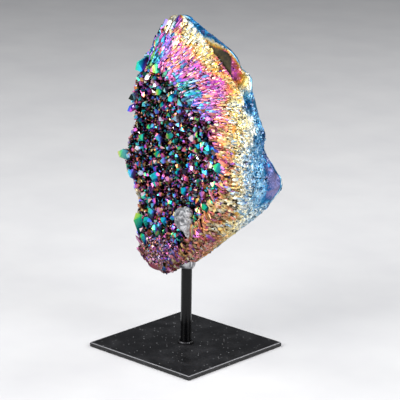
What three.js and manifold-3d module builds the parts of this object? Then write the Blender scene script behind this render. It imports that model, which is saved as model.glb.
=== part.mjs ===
// Amethyst cluster with an aura coating, on a post that stands on a square plate.
// Millimetres, +Z up, origin at the middle of the plate's underside.
// The crystal face looks towards -Y, the broken side towards +X, the outer skin towards +Y.

import * as THREE from 'three';
import { ConvexGeometry } from 'three/addons/geometries/ConvexGeometry.js';
import { mergeVertices } from 'three/addons/utils/BufferGeometryUtils.js';
import Module from 'manifold-3d';

const wasm = await Module();
wasm.setup();

// Stand
const plateSize = 100;
const plateThickness = 3.5;
const plateEdge = 0.5;
const postRadius = 4;
const postTop = 108;
const postSides = 24;
const weldRadius = 6;
const weldHeight = 1.8;
const gap = 0.3;
const socketFrom = 40;
const socketEndGap = 0.5;

// Stone, as six rails that run up its corners, each from the foot to the apex in the same steps.
// The crystal face lies from left to ridge, the broken side from ridge over crest to rim,
// and the outer skin from rim over back to backLeft. A step's points lie along the growth of the crystals.
const railPoints = {
  left: [
    [-26, -14, 62], [-32, -15, 69], [-34, -15, 79], [-35, -15, 92], [-35, -14, 107],
    [-40, -13, 121], [-49, -13, 134], [-46, -12, 151], [-41, -12, 168], [-43, -12, 184],
    [-36, -13, 198], [-33, -12, 210], [-30, -8, 222], [-26, -4, 233], [-21, 0, 241],
  ],
  ridge: [
    [-6, -18, 62], [1, -19, 69], [9, -20, 79], [23, -19, 92], [37, -18, 107],
    [45, -17, 121], [53, -17, 137], [51, -17, 153], [44, -17, 169], [30, -17, 185],
    [10, -18, 198], [-5, -19, 209], [-13, -12, 221], [-13, -6, 232], [-13, -1, 241],
  ],
  crest: [
    [-3, -13, 61], [5, -9, 66], [14, -8, 75], [27, -3, 86], [41, 4, 101],
    [50, 8, 117], [56, 10, 133], [52, 10, 152], [44, 14, 173], [36, 18, 190],
    [22, 19, 206], [10, 15, 221], [2, 10, 233], [-3, 7, 240], [-6, 5, 244],
  ],
  rim: [
    [-5, -5, 60], [5, 2, 65], [13, 6, 72], [27, 14, 86], [41, 26, 101],
    [51, 34, 115], [57, 38, 131], [48, 31, 151], [43, 28, 173], [37, 29, 189],
    [29, 27, 207], [22, 20, 222], [9, 14, 233], [1, 10, 240], [-4, 8, 244],
  ],
  back: [
    [-12, 0, 60], [-6, 13, 67], [0, 24, 77], [5, 31, 91], [8, 37, 107],
    [10, 41, 121], [10, 43, 134], [8, 43, 151], [6, 42, 168], [4, 42, 184],
    [2, 41, 198], [-2, 38, 210], [-5, 32, 221], [-8, 22, 231], [-10, 13, 240],
  ],
  backLeft: [
    [-22, -5, 61], [-27, 5, 68], [-31, 13, 79], [-36, 18, 92], [-40, 22, 107],
    [-45, 24, 121], [-50, 24, 134], [-48, 24, 151], [-45, 24, 168], [-43, 24, 184],
    [-37, 24, 198], [-33, 22, 210], [-28, 17, 221], [-22, 12, 232], [-18, 8, 240],
  ],
};
const stoneFoot = [-14, -9, 57];
const stoneApex = [-12, 4, 247];
const stoneHeight = stoneApex[2] - stoneFoot[2];
const rowCount = 42;

// The six stretches round the stone: columns of points, how far the middle bulges out,
// and how high the broken columns of quartz stand out
const stretches = [
  { name: 'front', from: 'left', to: 'ridge', columns: 7, bulge: -3, ribs: 1.1 },
  { name: 'side', from: 'ridge', to: 'crest', columns: 5, bulge: 1, ribs: 1.3 },
  { name: 'trough', from: 'crest', to: 'rim', columns: 5, bulge: 0, ribs: 0.4 },
  { name: 'skinRight', from: 'rim', to: 'back', columns: 4, bulge: 5, ribs: 0 },
  { name: 'skinLeft', from: 'back', to: 'backLeft', columns: 3, bulge: 5, ribs: 0 },
  { name: 'leftSide', from: 'backLeft', to: 'left', columns: 4, bulge: 1, ribs: 1.1 },
];

// Unevenness of the stone's surface: size of the lumps and how far they stand out
const coarseLumps = { cell: 14, stand: 1.4 };
const fineLumps = { cell: 6, stand: 0.5 };
const ribStep = 0.8;
const ribScatter = 1.2;
const ribLength = 3;

// Crystals grow towards this place in the cavity in front of the stone
const growthCentre = new THREE.Vector3(-30, -75, 160);

// Crystal face: its outline in X and Z, as seen from the front
const faceOutline = [
  [-60, 215], [-32, 213], [-19, 210], [-5, 208], [10, 197], [30, 185], [43, 170], [50, 154],
  [52, 139], [44, 122], [35, 106], [21, 92], [7, 77], [-4, 67], [-20, 64], [-60, 66],
];

// Crust of small crystals: places of a triangular lattice, every third one a tip
const latticeStep = 4.05;
const latticeScatter = 0.36;
const latticeLow = 60;
const latticeHigh = 220;
const latticeSide = 64;
const tipLean = 0.5;
const tipHeight = [3, 6.2];
const lobeTipHeight = [1, 2.2];
const lobeTop = 84;
const valleyHeight = 0.6;
const crustEdgeSink = 2.4;
const crustDepth = 7;
const faceSink = 1.8;

// Quartz points: their tip faces lean this far from level, three of them larger than the others
const tipFaceTilt = THREE.MathUtils.degToRad(50);
const largeFace = 0.86;
const smallFace = 1.12;
const crystalRoot = 7;
const leanShare = 0.5;

// Long recess between the crest and the rim, behind the golden edge
const troughDepth = 9;
const troughFrom = 176;
const troughTo = 236;
const troughDown = 0.85;
const troughFadeIn = 14;
const troughFadeOut = 16;

// Local hollows and swellings of the stone: middle, reach and push, in mm
const reliefs = [
  { name: 'hollow under the hood', at: [-8, -17, 200], reach: 10, push: [0, 5, 0] },
  { name: 'hollow in the face', at: [0, -16, 150], reach: 26, push: [0, 3, 0] },
  { name: 'swelling over the post', at: [-8, -20, 74], reach: 11, push: [0, -4, 0] },
  { name: 'notch in the rim', at: [43, 30, 186], reach: 5, push: [-5, -3, 1] },
  { name: 'knob on the rim', at: [31, 30, 203], reach: 6, push: [2, 2, 2] },
  { name: 'step below the notch', at: [46, 30, 166], reach: 8, push: [2, 1, 0] },
  { name: 'dent in the back', at: [-12, 45, 165], reach: 16, push: [0, -5, 0] },
];

// Large single crystals: place on the face in X and Z, radius, stand above it, and lean in X and Z
const largeCrystals = [
  { at: [-47, 140], radius: 4.6, stand: 9.5, lean: [-1.3, 0.2] },
  { at: [-33, 96], radius: 5.2, stand: 9, lean: [-0.7, 1] },
  { at: [-40, 186], radius: 4.6, stand: 8, lean: [-0.8, 0.3] },
  { at: [-43, 177], radius: 4.2, stand: 7.5, lean: [-0.9, -0.2] },
  { at: [-34, 156], radius: 5, stand: 6, lean: [-0.1, 0.1] },
  { at: [-19, 158], radius: 5.2, stand: 6, lean: [0.3, 0.1] },
  { at: [-19, 145], radius: 4.8, stand: 6, lean: [0.1, 0.2] },
  { at: [-16, 193], radius: 4.8, stand: 6, lean: [0.2, 0.3] },
  { at: [-4, 191], radius: 5.2, stand: 6.5, lean: [-0.2, -0.3] },
  { at: [6, 190], radius: 4.8, stand: 6, lean: [0.5, -0.1] },
  { at: [3, 176], radius: 4.4, stand: 7, lean: [0.1, 0.4] },
  { at: [15, 164], radius: 4.6, stand: 5.5, lean: [0.4, 0.2] },
  { at: [36, 161], radius: 4.6, stand: 6, lean: [0.5, 0.1] },
  { at: [46, 149], radius: 5.4, stand: 7, lean: [0.6, 0.3] },
  { at: [8, 123], radius: 4.8, stand: 6, lean: [0.2, 0.3] },
  { at: [29, 124], radius: 4.8, stand: 6, lean: [0.4, 0.5] },
  { at: [35, 117], radius: 4.6, stand: 6.5, lean: [0.6, 0.6] },
  { at: [-20, 128], radius: 4.8, stand: 6, lean: [0.1, 0.2] },
  { at: [-42, 126], radius: 4.8, stand: 7.5, lean: [-0.8, 0.1] },
  { at: [-24, 117], radius: 4.6, stand: 6, lean: [-0.1, 0.4] },
  { at: [-9, 97], radius: 4.6, stand: 6, lean: [-0.2, 0.5] },
  { at: [-29, 209], radius: 5.4, stand: 7, lean: [-0.5, 0.3] },
  { at: [-18, 207], radius: 5, stand: 7, lean: [-0.1, 0.5] },
];

// Single columns on the broken side, half sunk in the stone, along the growth
const columnSpacing = 13.5;
const columnRadius = [2.2, 3.4];
const columnLength = [14, 24];
const columnSink = 0.55;
const columnScatter = 0.8;
const columnsFrom = 0.12;
const columnsTo = 0.95;
const hoodFrom = 120;

// Grey resin on the face over the post, and where the post enters the stone
const patchMiddle = new THREE.Vector3(12.5, -16.5, 101);
const patchHalf = new THREE.Vector3(8, 5, 10.5);
const patchMargin = 1.2;
const collarBottom = 61.5;
const collarTop = 70;
const collarRadius = 6.6;
const resinLump = 0.8;
const resinCell = 4;

// Pseudo-random numbers from 0 to 1, the same in every run
function chance(index, channel) {
  const value = Math.sin(index * 12.9898 + channel * 78.233) * 43758.5453;
  return value - Math.floor(value);
}

function between(range, amount) {
  return range[0] + (range[1] - range[0]) * amount;
}

function smooth(low, high, value) {
  const amount = Math.min(1, Math.max(0, (value - low) / (high - low)));
  return amount * amount * (3 - 2 * amount);
}

// Value noise from -1 to 1 at a point, over cells of the given size
function lumpiness(point, cell) {
  const scaled = point.clone().divideScalar(cell);
  const corner = scaled.clone().floor();
  const inside = scaled.sub(corner);
  const ease = (v) => v * v * (3 - 2 * v);
  let total = 0;
  for (let step = 0; step < 8; step += 1) {
    const dx = step & 1;
    const dy = (step >> 1) & 1;
    const dz = step >> 2;
    const weight = (dx ? ease(inside.x) : 1 - ease(inside.x))
      * (dy ? ease(inside.y) : 1 - ease(inside.y))
      * (dz ? ease(inside.z) : 1 - ease(inside.z));
    total += weight * chance(corner.x + dx + 31 * (corner.y + dy), corner.z + dz);
  }
  return 2 * total - 1;
}

const rails = {};
for (const [corner, points] of Object.entries(railPoints)) {
  const places = points.map((point) => new THREE.Vector3(...point));
  rails[corner] = new THREE.CatmullRomCurve3(places, false, 'catmullrom', 0.5);
}

function outwardOf(stretch, up) {
  const start = rails[stretch.from].getPoint(up);
  const end = rails[stretch.to].getPoint(up);
  return new THREE.Vector3(end.y - start.y, start.x - end.x, 0).normalize();
}

// A point of the stone's surface: along a stretch from 0 to 1, and up the stone from 0 to 1
function stonePoint(stretch, along, up) {
  const start = rails[stretch.from].getPoint(up);
  const end = rails[stretch.to].getPoint(up);
  const outward = outwardOf(stretch, up);
  const point = start.clone().lerp(end, along);
  const swell = stretch.bulge * 4 * along * (1 - along) * Math.min(1, start.distanceTo(end) / 40);
  point.addScaledVector(outward, swell);
  if (stretch.name === 'trough') {
    const lowEnd = smooth(troughFrom, troughFrom + troughFadeIn, point.z);
    const highEnd = 1 - smooth(troughTo - troughFadeOut, troughTo, point.z);
    const dip = troughDepth * lowEnd * highEnd * smooth(0, 0.25, along) * (1 - smooth(0.5, 0.85, along));
    point.addScaledVector(outward, -dip * (1 - troughDown));
    point.z -= dip * troughDown;
  }
  for (const relief of reliefs) {
    const away = point.distanceTo(new THREE.Vector3(...relief.at)) / relief.reach;
    point.addScaledVector(new THREE.Vector3(...relief.push), Math.exp(-away * away));
  }
  const rough = coarseLumps.stand * lumpiness(point, coarseLumps.cell)
    + fineLumps.stand * lumpiness(point, fineLumps.cell);
  return point.addScaledVector(outward, rough);
}

// Broken columns: rows stand out or lie back by turns, each over a stretch of its own length
function ribHeight(stretch, column, row) {
  if (column === 0 || stretch.ribs === 0) return 0;
  const start = Math.floor(ribLength * chance(row, 11));
  const block = Math.floor((column + start) / ribLength);
  const scatter = ribScatter * (chance(row + 100 * block, 12) - 0.5);
  return stretch.ribs * ((row % 2 ? ribStep : -ribStep) + scatter);
}

function geometryFrom(positions, index) {
  const geometry = new THREE.BufferGeometry();
  geometry.setAttribute('position', new THREE.Float32BufferAttribute(positions, 3));
  geometry.setIndex(index);
  return geometry;
}

function toSolid(geometry) {
  const bare = geometry.clone();
  bare.deleteAttribute('normal');
  bare.deleteAttribute('uv');
  const merged = mergeVertices(bare, 1e-4);
  return new wasm.Manifold(new wasm.Mesh({
    numProp: 3,
    vertProperties: new Float32Array(merged.attributes.position.array),
    triVerts: new Uint32Array(merged.index.array),
  }));
}

// Keeps the outer shell, without pockets that are closed in between crystals
function toGeometry(solid) {
  const shells = solid.decompose();
  let outer = shells[0];
  for (const shell of shells) {
    if (shell.volume() > outer.volume()) outer = shell;
  }
  const mesh = outer.getMesh();
  const positions = [];
  for (let vertex = 0; vertex < mesh.numVert; vertex += 1) {
    for (let axis = 0; axis < 3; axis += 1) {
      positions.push(mesh.vertProperties[vertex * mesh.numProp + axis]);
    }
  }
  return geometryFrom(positions, Array.from(mesh.triVerts));
}

function stoneBody() {
  const positions = [];
  let columns = 0;
  for (let row = 0; row <= rowCount; row += 1) {
    columns = 0;
    for (const stretch of stretches) {
      for (let column = 0; column < stretch.columns; column += 1) {
        const up = row / rowCount;
        const point = stonePoint(stretch, column / stretch.columns, up);
        const underCrust = stretch.name === 'front' && column > 0 && insideOutline(point.x, point.z);
        const shift = underCrust ? -faceSink : ribHeight(stretch, column, row);
        point.addScaledVector(outwardOf(stretch, up), shift);
        positions.push(point.x, point.y, point.z);
        columns += 1;
      }
    }
  }
  const foot = positions.length / 3;
  positions.push(...stoneFoot);
  const apex = positions.length / 3;
  positions.push(...stoneApex);
  const index = [];
  for (let column = 0; column < columns; column += 1) {
    const next = (column + 1) % columns;
    for (let row = 0; row < rowCount; row += 1) {
      const low = row * columns;
      const high = low + columns;
      index.push(low + column, low + next, high + next);
      index.push(low + column, high + next, high + column);
    }
    const last = rowCount * columns;
    index.push(foot, next, column);
    index.push(apex, last + column, last + next);
  }
  return toSolid(geometryFrom(positions, index));
}

// Convex solid bounded by planes, each a unit normal and its distance from the origin
function cutByPlanes(planes) {
  const corners = [];
  for (let a = 0; a < planes.length; a += 1) {
    for (let b = a + 1; b < planes.length; b += 1) {
      const edge = planes[a].normal.clone().cross(planes[b].normal);
      for (let c = b + 1; c < planes.length; c += 1) {
        const volume = edge.dot(planes[c].normal);
        if (Math.abs(volume) < 1e-4) continue;
        const corner = edge.clone().multiplyScalar(planes[c].distance)
          .addScaledVector(planes[b].normal.clone().cross(planes[c].normal), planes[a].distance)
          .addScaledVector(planes[c].normal.clone().cross(planes[a].normal), planes[b].distance)
          .divideScalar(volume);
        if (planes.every((plane) => plane.normal.dot(corner) < plane.distance + 1e-5)) corners.push(corner);
      }
    }
  }
  return new ConvexGeometry(corners);
}

// Six-sided quartz point along +Z with its shoulder at about 0, three tip faces larger than the rest
function quartzPoint(radius, root, seed) {
  const planes = [{ normal: new THREE.Vector3(0, 0, -1), distance: root }];
  for (let face = 0; face < 6; face += 1) {
    const turn = face * Math.PI / 3;
    const across = new THREE.Vector3(Math.cos(turn), Math.sin(turn), 0);
    planes.push({ normal: across, distance: radius * (0.85 + 0.3 * chance(seed, face)) });
    const tip = across.clone().multiplyScalar(Math.sin(tipFaceTilt));
    tip.z = Math.cos(tipFaceTilt);
    const share = (face % 2 ? smallFace : largeFace) * (0.95 + 0.1 * chance(seed, face + 6));
    planes.push({ normal: tip, distance: radius * Math.sin(tipFaceTilt) * share });
  }
  return cutByPlanes(planes);
}

function placedPoint(radius, root, seed, foot, direction, turn) {
  const geometry = quartzPoint(radius, root, seed);
  const spin = new THREE.Matrix4().makeRotationZ(turn);
  const aim = new THREE.Quaternion().setFromUnitVectors(new THREE.Vector3(0, 0, 1), direction);
  geometry.applyMatrix4(spin);
  geometry.applyQuaternion(aim);
  geometry.translate(foot.x, foot.y, foot.z);
  return toSolid(geometry);
}

function insideOutline(x, z) {
  let inside = false;
  faceOutline.forEach(([ax, az], index) => {
    const [bx, bz] = faceOutline[(index + 1) % faceOutline.length];
    if ((az > z) !== (bz > z) && x < ax + ((z - az) / (bz - az)) * (bx - ax)) inside = !inside;
  });
  return inside;
}

function growthAt(point) {
  return growthCentre.clone().sub(point).normalize();
}

function insidePatch(point) {
  const x = (point.x - patchMiddle.x) / (patchHalf.x + patchMargin);
  const z = (point.z - patchMiddle.z) / (patchHalf.z + patchMargin);
  return x * x + z * z < 1;
}

// Point of the crystal face at a place in X and Z, or at its edge beside that place
function facePoint(x, z) {
  let low = 0;
  let high = 1;
  let point = null;
  for (let pass = 0; pass < 16; pass += 1) {
    const up = (low + high) / 2;
    const start = rails.left.getPoint(up);
    const end = rails.ridge.getPoint(up);
    const along = (x - start.x) / (end.x - start.x);
    point = stonePoint(stretches[0], Math.min(1, Math.max(0, along)), up);
    if (point.z < z) low = up;
    else high = up;
  }
  return point;
}

function onFace(point, x, z) {
  return Math.abs(point.x - x) < 1 && Math.abs(point.z - z) < 2 && insideOutline(x, z);
}

// Crust of small crystals: six-sided pyramids side by side, with its back sunk in the stone
function crystalCrust() {
  const corners = new Map();
  const positions = [];
  const corner = (column, row) => {
    const key = `${column} ${row}`;
    if (corners.has(key)) return corners.get(key);
    const seed = 500 + column * 97 + row * 13;
    const isTip = (((column - Math.floor(row / 2)) - row) % 3 + 3) % 3 === 0;
    const x = (column + (row % 2) / 2 + latticeScatter * (chance(seed, 1) - 0.5)) * latticeStep;
    const z = (row * Math.sqrt(3) / 2 + latticeScatter * (chance(seed, 2) - 0.5)) * latticeStep;
    const point = facePoint(x, z);
    const inside = onFace(point, x, z);
    const entry = { inside, isTip, point, index: -1, x, z, seed };
    corners.set(key, entry);
    return entry;
  };
  const triangles = [];
  const rowStep = latticeStep * Math.sqrt(3) / 2;
  const firstRow = Math.floor(latticeLow / rowStep);
  const lastRow = Math.ceil(latticeHigh / rowStep);
  const side = Math.ceil(latticeSide / latticeStep);
  for (let row = firstRow; row < lastRow; row += 1) {
    for (let column = -side; column < side; column += 1) {
      const near = [corner(column, row), corner(column + 1, row)];
      const far = [corner(column, row + 1), corner(column + 1, row + 1)];
      const pairs = row % 2 ? [[near[0], near[1], far[1]], [near[0], far[1], far[0]]]
        : [[near[0], near[1], far[0]], [near[1], far[1], far[0]]];
      for (const triangle of pairs) {
        if (triangle.every((entry) => entry.inside)) triangles.push(triangle);
      }
    }
  }
  const edges = new Map();
  for (const triangle of triangles) {
    for (let step = 0; step < 3; step += 1) {
      const from = triangle[step];
      const to = triangle[(step + 1) % 3];
      edges.set(`${from.seed} ${to.seed}`, [from, to]);
    }
  }
  const border = [...edges.values()].filter(([from, to]) => !edges.has(`${to.seed} ${from.seed}`));
  const borderEntries = new Set(border.flat());
  const index = [];
  const place = (entry) => {
    if (entry.index >= 0) return entry.index;
    const direction = growthAt(entry.point);
    direction.x += tipLean * (chance(entry.seed, 3) - 0.5);
    direction.z += tipLean * (chance(entry.seed, 4) - 0.5);
    direction.normalize();
    const heights = entry.z < lobeTop ? lobeTipHeight : tipHeight;
    const standsOut = entry.isTip && !insidePatch(entry.point);
    let stand = standsOut ? between(heights, chance(entry.seed, 5)) : valleyHeight;
    if (borderEntries.has(entry)) stand = -crustEdgeSink;
    const front = entry.point.clone().addScaledVector(direction, stand);
    const behind = entry.point.clone();
    behind.y += crustDepth;
    entry.index = positions.length / 3;
    positions.push(front.x, front.y, front.z, behind.x, behind.y, behind.z);
    return entry.index;
  };
  for (const triangle of triangles) {
    const [a, b, c] = triangle.map(place);
    index.push(a, b, c, a + 1, c + 1, b + 1);
  }
  for (const [from, to] of border) {
    const a = place(from);
    const b = place(to);
    index.push(b, a, a + 1, b, a + 1, b + 1);
  }
  return toSolid(geometryFrom(positions, index));
}

function faceCrystals() {
  return largeCrystals.map((crystal, number) => {
    const point = facePoint(...crystal.at);
    const direction = growthAt(point);
    direction.x += crystal.lean[0] * leanShare;
    direction.z += crystal.lean[1] * leanShare;
    direction.normalize();
    const foot = point.clone().addScaledVector(direction, crystal.stand - crystal.radius);
    const turn = 2 * Math.PI * chance(number, 8);
    return placedPoint(crystal.radius, crystalRoot, number, foot, direction, turn);
  });
}

// Columns lie along the broken surface and point the way the crystals grow
function columnSolids() {
  const solids = [];
  let seed = 2000;
  for (const name of ['front', 'side']) {
    const stretch = stretches.find((entry) => entry.name === name);
    for (let up = columnsFrom; up < columnsTo; up += columnSpacing / stoneHeight) {
      const width = rails[stretch.from].getPoint(up).distanceTo(rails[stretch.to].getPoint(up));
      const count = Math.max(1, Math.round(width / (columnSpacing * 1.5)));
      for (let place = 0; place < count; place += 1) {
        seed += 1;
        const along = (place + 0.5 + columnScatter * (chance(seed, 1) - 0.5)) / count;
        const height = up + columnSpacing / stoneHeight * columnScatter * (chance(seed, 2) - 0.5);
        const point = stonePoint(stretch, along, height);
        if (name === 'front' && (insideOutline(point.x, point.z) || point.z < hoodFrom)) continue;
        const nearby = stonePoint(stretch, along, Math.min(1, height + 0.02));
        const beside = stonePoint(stretch, Math.min(1, along + 0.05), height);
        const normal = beside.sub(point).cross(nearby.sub(point)).normalize();
        const direction = growthAt(point);
        direction.addScaledVector(normal, -direction.dot(normal)).normalize();
        const radius = between(columnRadius, chance(seed, 5));
        const length = between(columnLength, chance(seed, 6));
        const foot = point.clone().addScaledVector(normal, -columnSink * radius);
        foot.addScaledVector(direction, length / 2);
        solids.push(placedPoint(radius, length, seed, foot, direction, Math.PI * chance(seed, 7)));
      }
    }
  }
  return solids;
}

// Lumpy pad of resin, a little larger when it cuts its own seat in the stone
function patchSolid(extra) {
  const geometry = new THREE.SphereGeometry(1, 18, 12);
  const places = geometry.attributes.position;
  for (let vertex = 0; vertex < places.count; vertex += 1) {
    const unit = new THREE.Vector3().fromBufferAttribute(places, vertex);
    const taper = 0.78 + 0.3 * smooth(-1, 0.6, unit.z);
    const lump = resinLump * lumpiness(unit.clone().multiply(patchHalf).add(patchMiddle), resinCell);
    const point = new THREE.Vector3(
      unit.x * (patchHalf.x * taper + lump + extra),
      unit.y * (patchHalf.y + lump + extra),
      unit.z * (patchHalf.z + lump + extra),
    ).add(patchMiddle);
    places.setXYZ(vertex, point.x, point.y, point.z);
  }
  return toSolid(geometry);
}

// Ring of resin round the post, uneven outside
function collarSolid(extra) {
  const inner = postRadius + gap - extra;
  const middle = (collarBottom + collarTop) / 2;
  const profile = [
    [inner, collarBottom + 1 - extra], [collarRadius - 1.6 + extra, collarBottom - extra],
    [collarRadius + extra, middle], [collarRadius - 0.6 + extra, collarTop + extra],
    [inner, collarTop + extra], [inner, collarBottom + 1 - extra],
  ];
  const geometry = new THREE.LatheGeometry(profile.map(([x, y]) => new THREE.Vector2(x, y)), 20);
  geometry.rotateX(Math.PI / 2);
  const places = geometry.attributes.position;
  for (let vertex = 0; vertex < places.count; vertex += 1) {
    const point = new THREE.Vector3().fromBufferAttribute(places, vertex);
    const reach = Math.hypot(point.x, point.y);
    if (reach < inner + 0.1) continue;
    const rim = new THREE.Vector3(point.x, point.y, 0).multiplyScalar(collarRadius / reach);
    const grown = (reach + resinLump * lumpiness(rim, resinCell)) / reach;
    places.setXYZ(vertex, point.x * grown, point.y * grown, point.z);
  }
  return toSolid(geometry);
}

function named(name, geometry, colour, roughness, metalness) {
  geometry.computeVertexNormals();
  const material = new THREE.MeshStandardMaterial({ color: colour, roughness, metalness, flatShading: true });
  const mesh = new THREE.Mesh(geometry, material);
  mesh.name = name;
  return mesh;
}

function basePlate() {
  const half = plateSize / 2 - plateEdge;
  const outline = new THREE.Shape([
    new THREE.Vector2(-half, -half), new THREE.Vector2(half, -half),
    new THREE.Vector2(half, half), new THREE.Vector2(-half, half),
  ]);
  const geometry = new THREE.ExtrudeGeometry(outline, {
    depth: plateThickness - 2 * plateEdge,
    bevelEnabled: true,
    bevelThickness: plateEdge,
    bevelSize: plateEdge,
    bevelSegments: 1,
  });
  geometry.translate(0, 0, plateEdge);
  return named('base_plate', geometry, 0x0b0b0d, 0.35, 0.6);
}

function post() {
  const length = postTop - plateThickness;
  const geometry = new THREE.CylinderGeometry(postRadius, postRadius, length, postSides);
  geometry.rotateX(Math.PI / 2);
  geometry.translate(0, 0, plateThickness + length / 2);
  return named('post', geometry, 0x0b0b0d, 0.25, 0.7);
}

function weldRing() {
  const inner = postRadius + gap;
  const profile = [
    [inner, 0], [weldRadius, 0], [weldRadius, weldHeight * 0.4],
    [weldRadius - 0.6, weldHeight * 0.85], [inner + 0.5, weldHeight], [inner, weldHeight], [inner, 0],
  ];
  const geometry = new THREE.LatheGeometry(profile.map(([x, y]) => new THREE.Vector2(x, y)), postSides);
  geometry.rotateX(Math.PI / 2);
  geometry.translate(0, 0, plateThickness);
  return named('weld_ring', geometry, 0x1a1a1c, 0.3, 0.8);
}

function socketSolid() {
  const length = postTop + socketEndGap - socketFrom;
  const geometry = new THREE.CylinderGeometry(postRadius + gap, postRadius + gap, length, postSides);
  geometry.rotateX(Math.PI / 2);
  geometry.translate(0, 0, socketFrom + length / 2);
  return toSolid(geometry);
}

function amethystCluster() {
  let stone = stoneBody();
  stone = stone.add(crystalCrust());
  for (const solid of faceCrystals()) stone = stone.add(solid);
  for (const solid of columnSolids()) stone = stone.add(solid);
  stone = stone.subtract(patchSolid(gap));
  stone = stone.subtract(collarSolid(gap));
  stone = stone.subtract(socketSolid());
  return named('amethyst_cluster', toGeometry(stone), 0xb070c8, 0.3, 0.7);
}

function fillerPatch() {
  return named('filler_patch', toGeometry(patchSolid(0)), 0x9a9aa0, 0.5, 0);
}

function glueCollar() {
  return named('glue_collar', toGeometry(collarSolid(0)), 0x8f9094, 0.5, 0);
}

const cluster = new THREE.Group();
cluster.add(basePlate(), post(), weldRing(), amethystCluster(), fillerPatch(), glueCollar());

export default cluster;
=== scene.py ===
import math

import bpy
import numpy as np
from mathutils import Matrix, Vector


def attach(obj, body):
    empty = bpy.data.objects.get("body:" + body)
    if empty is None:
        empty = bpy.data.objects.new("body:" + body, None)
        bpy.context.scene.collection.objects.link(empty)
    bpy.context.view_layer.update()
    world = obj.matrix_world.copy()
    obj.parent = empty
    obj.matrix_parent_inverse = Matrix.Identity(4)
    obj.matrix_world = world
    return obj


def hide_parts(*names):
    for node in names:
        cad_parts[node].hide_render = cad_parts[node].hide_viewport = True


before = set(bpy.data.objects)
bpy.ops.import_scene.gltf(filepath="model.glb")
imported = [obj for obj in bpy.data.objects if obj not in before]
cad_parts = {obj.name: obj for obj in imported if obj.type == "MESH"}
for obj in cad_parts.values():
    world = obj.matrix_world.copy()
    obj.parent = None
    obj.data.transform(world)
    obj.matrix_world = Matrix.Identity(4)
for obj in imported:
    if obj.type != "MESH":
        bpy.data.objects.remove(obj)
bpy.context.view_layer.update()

mm = 0.001

# The stone's shape is worked out in mm, in the frame of the stand: +Z up, the crystal face towards -Y,
# the broken side towards +X, the outer skin towards +Y.
railPoints = {
    "left": [
        (-26, -14, 62), (-32, -15, 69), (-34, -15, 79), (-35, -15, 92), (-35, -14, 107),
        (-40, -13, 121), (-49, -13, 134), (-46, -12, 151), (-41, -12, 168), (-43, -12, 184),
        (-36, -13, 198), (-33, -12, 210), (-30, -8, 222), (-26, -4, 233), (-21, 0, 241),
    ],
    "ridge": [
        (-6, -18, 62), (1, -19, 69), (9, -20, 79), (23, -19, 92), (37, -18, 107),
        (45, -17, 121), (53, -17, 137), (51, -17, 153), (44, -17, 169), (30, -17, 185),
        (10, -18, 198), (-5, -19, 209), (-13, -12, 221), (-13, -6, 232), (-13, -1, 241),
    ],
    "crest": [
        (-3, -13, 61), (5, -9, 66), (14, -8, 75), (27, -3, 86), (41, 4, 101),
        (50, 8, 117), (56, 10, 133), (52, 10, 152), (44, 14, 173), (36, 18, 190),
        (22, 19, 206), (10, 15, 221), (2, 10, 233), (-3, 7, 240), (-6, 5, 244),
    ],
    "rim": [
        (-5, -5, 60), (5, 2, 65), (13, 6, 72), (27, 14, 86), (41, 26, 101),
        (51, 34, 115), (57, 38, 131), (48, 31, 151), (43, 28, 173), (37, 29, 189),
        (29, 27, 207), (22, 20, 222), (9, 14, 233), (1, 10, 240), (-4, 8, 244),
    ],
    "back": [
        (-12, 0, 60), (-6, 13, 67), (0, 24, 77), (5, 31, 91), (8, 37, 107),
        (10, 41, 121), (10, 43, 134), (8, 43, 151), (6, 42, 168), (4, 42, 184),
        (2, 41, 198), (-2, 38, 210), (-5, 32, 221), (-8, 22, 231), (-10, 13, 240),
    ],
    "backLeft": [
        (-22, -5, 61), (-27, 5, 68), (-31, 13, 79), (-36, 18, 92), (-40, 22, 107),
        (-45, 24, 121), (-50, 24, 134), (-48, 24, 151), (-45, 24, 168), (-43, 24, 184),
        (-37, 24, 198), (-33, 22, 210), (-28, 17, 221), (-22, 12, 232), (-18, 8, 240),
    ],
}
stoneHeight = 190
railArrays = {name: np.array(points, float) for name, points in railPoints.items()}

stone = {
    "foot": (-14, -9, 57),
    "apex": (-12, 4, 247),
    "growthCentre": np.array((-30.0, -75.0, 160.0)),  # crystals point to this place in the cavity
    "steeper": 1.3, "steeperBelow": 148,  # low on the stone the columns point more upwards
    "coarseCell": 14, "coarseStand": 1.4,
    "fineCell": 6, "fineStand": 0.5,
    "rows": 250,
    "footRows": 0.03, "apexRows": 0.03,  # share of the rows that close the two ends
    "blockWidth": 2.2, "blockLength": 7,  # blocks of broken quartz between the columns
    "blockStand": 0.8, "blockGap": 0.9,
    # the crystal face's ground is painted near black, as shade between its crystals
    "faceSink": 1.6, "faceFilm": 0.41, "faceGroundShade": 0.06,  # ground of the crystal face
}

# The six stretches round the stone: rails, bulge of the middle, columns of faces, and how far the blocks of
# broken quartz stand out
stretches = {
    "front": {"from": "left", "to": "ridge", "bulge": -3, "columns": 70, "ribs": 0.5},
    "side": {"from": "ridge", "to": "crest", "bulge": 1, "columns": 54, "ribs": 0.7},
    "trough": {"from": "crest", "to": "rim", "bulge": 0, "columns": 46, "ribs": 0.35},
    "skinRight": {"from": "rim", "to": "back", "bulge": 5, "columns": 48, "ribs": 0},
    "skinLeft": {"from": "back", "to": "backLeft", "bulge": 5, "columns": 54, "ribs": 0},
    "leftSide": {"from": "backLeft", "to": "left", "bulge": 1, "columns": 44, "ribs": 0.7},
}

# Dull recess between crest and rim: its depth, its heights, how much of the depth goes down instead of
# inwards, and the heights over which it starts and ends
recess = {"depth": 9, "from": 176, "to": 236, "down": 0.85, "fadeIn": 14, "fadeOut": 16}

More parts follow.
